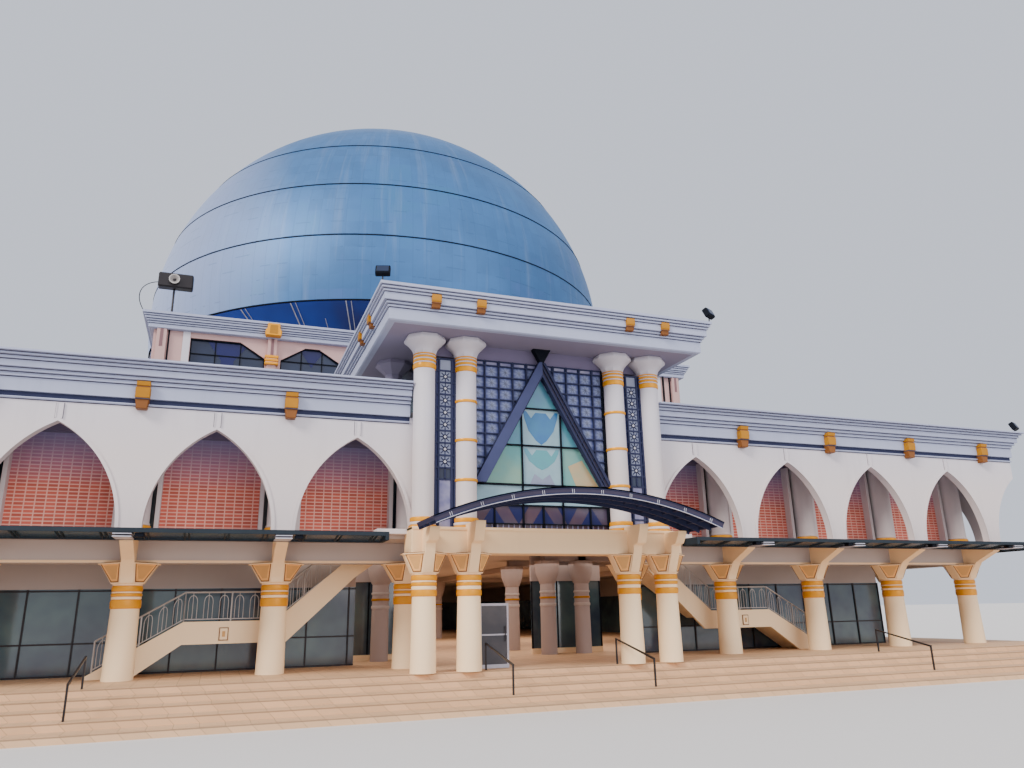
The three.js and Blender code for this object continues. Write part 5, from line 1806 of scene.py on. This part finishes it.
def hanging_wire(work, guides):
    """A wire in one smooth loop from its first guide point to its last, drawn by the two between them."""
    steps = 14
    places = []
    for step in range(steps + 1):
        t = step / steps
        shares = ((1 - t) ** 3, 3 * t * (1 - t) ** 2, 3 * t * t * (1 - t), t**3)
        places.append([sum(share * guide[axis] for share, guide in zip(shares, guides)) for axis in range(3)])
    for start, end in zip(places, places[1:]):
        work.add(rod_shape(start, end, 0.02, 8), "black_paint")


def build_roof_fittings():
    """Floodlights on the canopy's and wing's corners, the horn box on its pole with its wire, a thin mast
    and the kerbs beside the portico."""
    work = Workpiece()
    floodlight(work, -6.45, -33.4, CANOPY_TOP, -0.3)
    floodlight(work, 6.46, -33.4, CANOPY_TOP, 0.5)
    floodlight(work, 24.95, -31.45, PARAPET_TOP, 0.4)
    x, y = -13.97, -18.6
    work.add(rod_shape((x, y, BLOCK_TOP), (x, y, 18.6), 0.05, 8), "dark_steel")
    work.add(bevelled(box_shape(x - 0.73, x + 0.85, y - 0.4, y + 0.1, 18.2, 18.95), 0.06), "dark_steel")
    bell = [(0.06, -0.2), (0.12, -0.05), (0.25, 0.1), (0.21, 0.1), (0.08, -0.05), (0.03, -0.2)]
    aim = shift(x, y - 0.46, 18.58) @ Matrix.Rotation(pi / 2, 4, "X")
    work.add(turned_ring(bell, 16), "pale_steel", [aim])
    guides = [(x - 0.7, y, 18.55), (x - 1.55, y, 18.45), (x - 1.75, y, 17.7), (x - 1.2, y, BLOCK_TOP)]
    hanging_wire(work, guides)
    mast_x, mast_y = 6.35, -29.9
    work.add(rod_shape((mast_x, mast_y, PARAPET_TOP), (mast_x, mast_y, CANOPY_BASE), 0.05, 8), "dark_steel")
    kerb = box_shape(-6.05, -4.98, -31.6, -30.95, UPPER_FLOOR - 0.1, UPPER_FLOOR + 0.07)
    work.add(bevelled(kerb, 0.015), "white_paint", BOTH_HALVES)
    work.finish("roof_fittings", "dark_steel")


# Stage

HALL_LAMPS = ((-8.0, -22.0), (0.0, -22.0), (8.0, -22.0), (-9.0, -8.0), (0.0, -8.0), (9.0, -8.0), (0.0, 10.0))
HALL_LAMP_Z = 4.7


def placed(name, data):
    """An object for a mesh, lamp or camera, linked to the scene."""
    item = bpy.data.objects.new(name, data)
    bpy.context.scene.collection.objects.link(item)
    return item


def build_stage():
    """Pale floor, even sky, two soft suns and the lamps in the hall."""
    floor_nodes = Nodes("studio_floor")
    floor_nodes.shader.inputs["Base Color"].default_value = (0.72, 0.7, 0.68, 1)
    floor_nodes.surface(0.8)
    shape = bmesh.new()
    bmesh.ops.create_grid(shape, x_segments=1, y_segments=1, size=400)
    mesh = bpy.data.meshes.new("studio_floor")
    shape.to_mesh(mesh)
    shape.free()
    mesh.materials.append(floor_nodes.material)
    floor = placed("studio_floor", mesh)
    world = bpy.data.worlds.new("studio")
    world.use_nodes = True
    background = world.node_tree.nodes["Background"]
    background.inputs["Color"].default_value = (0.8, 0.85, 0.98, 1)
    background.inputs["Strength"].default_value = 1.0
    bpy.context.scene.world = world
    for name, angles, energy, spread, colour in (
        ("key", (radians(55), 0, radians(-60)), 3.35, 18, (1.0, 0.93, 0.85)),
        ("fill", (radians(66), 0, radians(20)), 1.35, 50, (1.0, 0.95, 0.93)),
    ):
        light = bpy.data.lights.new(name, "SUN")
        light.energy = energy
        light.angle = radians(spread)
        light.color = colour
        placed(name, light).rotation_euler = angles
    for x, y in HALL_LAMPS:
        glow = bpy.data.lights.new("hall_glow", "AREA")
        glow.shape = "DISK"
        glow.size = 5
        glow.energy = 90
        glow.color = (1.0, 0.86, 0.76)
        placed("hall_glow", glow).location = (x * MODEL, y * MODEL, HALL_LAMP_Z * MODEL)


# The camera stands left of the axis, near the ground, and looks up and to the right
CAMERA_PLACE = (-5.447, -28.631, 1.379)
CAMERA_YAW = 0.3613
CAMERA_PITCH = 0.2852
CAMERA_ROLL = -0.0197
CAMERA_LENS = 27.13


def build_camera():
    """The camera of the photograph's viewing angle."""
    level = Vector((cos(CAMERA_YAW), -sin(CAMERA_YAW), 0))
    ahead = Vector((sin(CAMERA_YAW), cos(CAMERA_YAW), 0))
    forward = ahead * cos(CAMERA_PITCH) + Vector((0, 0, sin(CAMERA_PITCH)))
    upright = level.cross(forward)
    across = level * cos(CAMERA_ROLL) + upright * sin(CAMERA_ROLL)
    above = upright * cos(CAMERA_ROLL) - level * sin(CAMERA_ROLL)
    data = bpy.data.cameras.new("photo_camera")
    data.lens = CAMERA_LENS
    data.sensor_width = 36
    data.clip_start, data.clip_end = 0.1, 800
    camera = placed("photo_camera", data)
    axes = Matrix((across, above, -forward)).transposed()
    camera.matrix_world = Matrix.Translation(CAMERA_PLACE) @ axes.to_4x4()
    bpy.context.scene.camera = camera


# Sizes and colours that a user would change


def length_option(name, note, value):
    return bpy.props.FloatProperty(name=name, description=note, default=value, unit="LENGTH")


def count_option(name, note, value):
    return bpy.props.IntProperty(name=name, description=note, default=value, min=4)


def colour_option(name, note, value):
    return bpy.props.FloatVectorProperty(name=name, description=note, default=value, subtype="COLOR")


class MosqueSizes(bpy.types.PropertyGroup):
    brick_width: length_option("Brick width", "One brick's length", 0.3)
    brick_height: length_option("Brick height", "One course", 0.12)
    brick_joint: length_option("Brick joint", "Joint width", 0.022)
    slab_size: length_option("Slab size", "Platform slab", 0.6)
    dome_gores: count_option("Dome gores", "Sheets around the dome", 132)
    dome_courses: count_option("Dome courses", "Courses to the crown", 30)
    white_colour: colour_option("White", "Upper walls", (0.64, 0.61, 0.67))
    cream_colour: colour_option("Cream", "Columns and stairs", (0.98, 0.68, 0.39))
    # Painted shade: the mauve-brown of the ceilings in shade.
    soffit_shade_colour: colour_option("Soffit", "Ceilings and beams", (0.5, 0.43, 0.4))
    block_colour: colour_option("Block", "Walls under the dome", (0.56, 0.36, 0.34))
    gold_colour: colour_option("Gold", "Bands and spouts", (0.84, 0.35, 0.005))
    panel_colour: colour_option("Panel", "Capital panels", (0.98, 0.52, 0.18))
    navy_colour: colour_option("Navy", "Steel and stripe", (0.03, 0.035, 0.082))
    brick_colour: colour_option("Brick", "Infill brick", (0.78, 0.17, 0.12))
    joint_colour: colour_option("Joint", "Brick joints", (0.95, 0.5, 0.4))
    stone_colour: colour_option("Stone", "Platform slabs", (0.78, 0.5, 0.29))
    dome_colour: colour_option("Dome", "Dome sheets", (0.05, 0.155, 0.36))


class MOSQUE_OT_finishes(bpy.types.Operator):
    """Makes the finishes and gives each carried-over node its own"""

    bl_idname = "mosque.finishes"
    bl_label = "Finishes"

    def execute(self, context):
        make_finishes(context.scene.mosque_sizes)
        dress_nodes()
        return {"FINISHED"}


class MOSQUE_OT_camera(bpy.types.Operator):
    """Places the camera"""

    bl_idname = "mosque.camera"
    bl_label = "Camera"

    def execute(self, context):
        build_camera()
        return {"FINISHED"}


class MOSQUE_OT_stage(bpy.types.Operator):
    """Makes the floor and the lights"""

    bl_idname = "mosque.stage"
    bl_label = "Stage"

    def execute(self, context):
        build_stage()
        return {"FINISHED"}


class MOSQUE_OT_verandas(bpy.types.Operator):
    """Columns, capitals and beams of the ground storey"""

    bl_idname = "mosque.verandas"
    bl_label = "Verandas"

    def execute(self, context):
        build_colonnades()
        build_awnings()
        return {"FINISHED"}


class MOSQUE_OT_hall(bpy.types.Operator):
    """Hall columns, glazing bars, stair railings and the entrance panel"""

    bl_idname = "mosque.hall"
    bl_label = "Hall and stairs"

    def execute(self, context):
        build_hall()
        build_glazing_bars()
        build_stair_railings()
        build_stair_plates()
        build_entrance_panel()
        return {"FINISHED"}


class MOSQUE_OT_arcades(bpy.types.Operator):
    """Arched walls of the upper storey"""

    bl_idname = "mosque.arcades"
    bl_label = "Arcades"

    def execute(self, context):
        build_arcades()
        return {"FINISHED"}


class MOSQUE_OT_galleries(bpy.types.Operator):
    """Gallery columns and brick panels"""

    bl_idname = "mosque.galleries"
    bl_label = "Galleries"

    def execute(self, context):
        build_gallery()
        return {"FINISHED"}


class MOSQUE_OT_parapets(bpy.types.Operator):
    """Parapet mouldings and gold spouts"""

    bl_idname = "mosque.parapets"
    bl_label = "Parapets"

    def execute(self, context):
        build_parapet()
        build_scuppers()
        return {"FINISHED"}


class MOSQUE_OT_portico(bpy.types.Operator):
    """Portico columns, beam, high roof and bowed canopy"""

    bl_idname = "mosque.portico"
    bl_label = "Portico"

    def execute(self, context):
        build_portico_frame()
        build_canopy()
        build_bow()
        return {"FINISHED"}


class MOSQUE_OT_entrance(bpy.types.Operator):
    """Entrance window, A-frame and ladder screens"""

    bl_idname = "mosque.entrance"
    bl_label = "Entrance window"

    def execute(self, context):
        build_entrance_window()
        build_a_frame()
        build_side_screens()
        return {"FINISHED"}


class MOSQUE_OT_block(bpy.types.Operator):
    """Cornice and windows of the block under the dome"""

    bl_idname = "mosque.block"
    bl_label = "Block"

    def execute(self, context):
        build_block_trim()
        build_block_windows()
        return {"FINISHED"}


class MOSQUE_OT_dome(bpy.types.Operator):
    """Dome, its window ring and the fittings on the roofs"""

    bl_idname = "mosque.dome"
    bl_label = "Dome"

    def execute(self, context):
        build_drum()
        build_dome()
        build_roof_fittings()
        return {"FINISHED"}


OPERATORS = (
    MOSQUE_OT_finishes,
    MOSQUE_OT_camera,
    MOSQUE_OT_stage,
    MOSQUE_OT_verandas,
    MOSQUE_OT_hall,
    MOSQUE_OT_arcades,
    MOSQUE_OT_galleries,
    MOSQUE_OT_parapets,
    MOSQUE_OT_portico,
    MOSQUE_OT_entrance,
    MOSQUE_OT_block,
    MOSQUE_OT_dome,
)


class MOSQUE_PT_panel(bpy.types.Panel):
    """Lists the building's sizes and operators"""

    bl_idname = "MOSQUE_PT_panel"
    bl_label = "Mosque"
    bl_space_type = "VIEW_3D"
    bl_region_type = "UI"
    bl_category = "Mosque"

    def draw(self, context):
        sizes = context.scene.mosque_sizes
        for name in MosqueSizes.__annotations__:
            self.layout.prop(sizes, name)
        for operator in OPERATORS:
            self.layout.operator(operator.bl_idname)


def register():
    for cls in (MosqueSizes, *OPERATORS, MOSQUE_PT_panel):
        bpy.utils.register_class(cls)
    bpy.types.Scene.mosque_sizes = bpy.props.PointerProperty(type=MosqueSizes)


def unregister():
    del bpy.types.Scene.mosque_sizes
    for cls in reversed((MosqueSizes, *OPERATORS, MOSQUE_PT_panel)):
        bpy.utils.unregister_class(cls)


def main():
    register()
    bpy.ops.mosque.finishes()
    bpy.ops.mosque.camera()
    bpy.ops.mosque.stage()
    bpy.ops.mosque.verandas()
    bpy.ops.mosque.hall()
    bpy.ops.mosque.arcades()
    bpy.ops.mosque.galleries()
    bpy.ops.mosque.parapets()
    bpy.ops.mosque.portico()
    bpy.ops.mosque.entrance()
    bpy.ops.mosque.block()
    bpy.ops.mosque.dome()


if __name__ == "__main__":
    main()
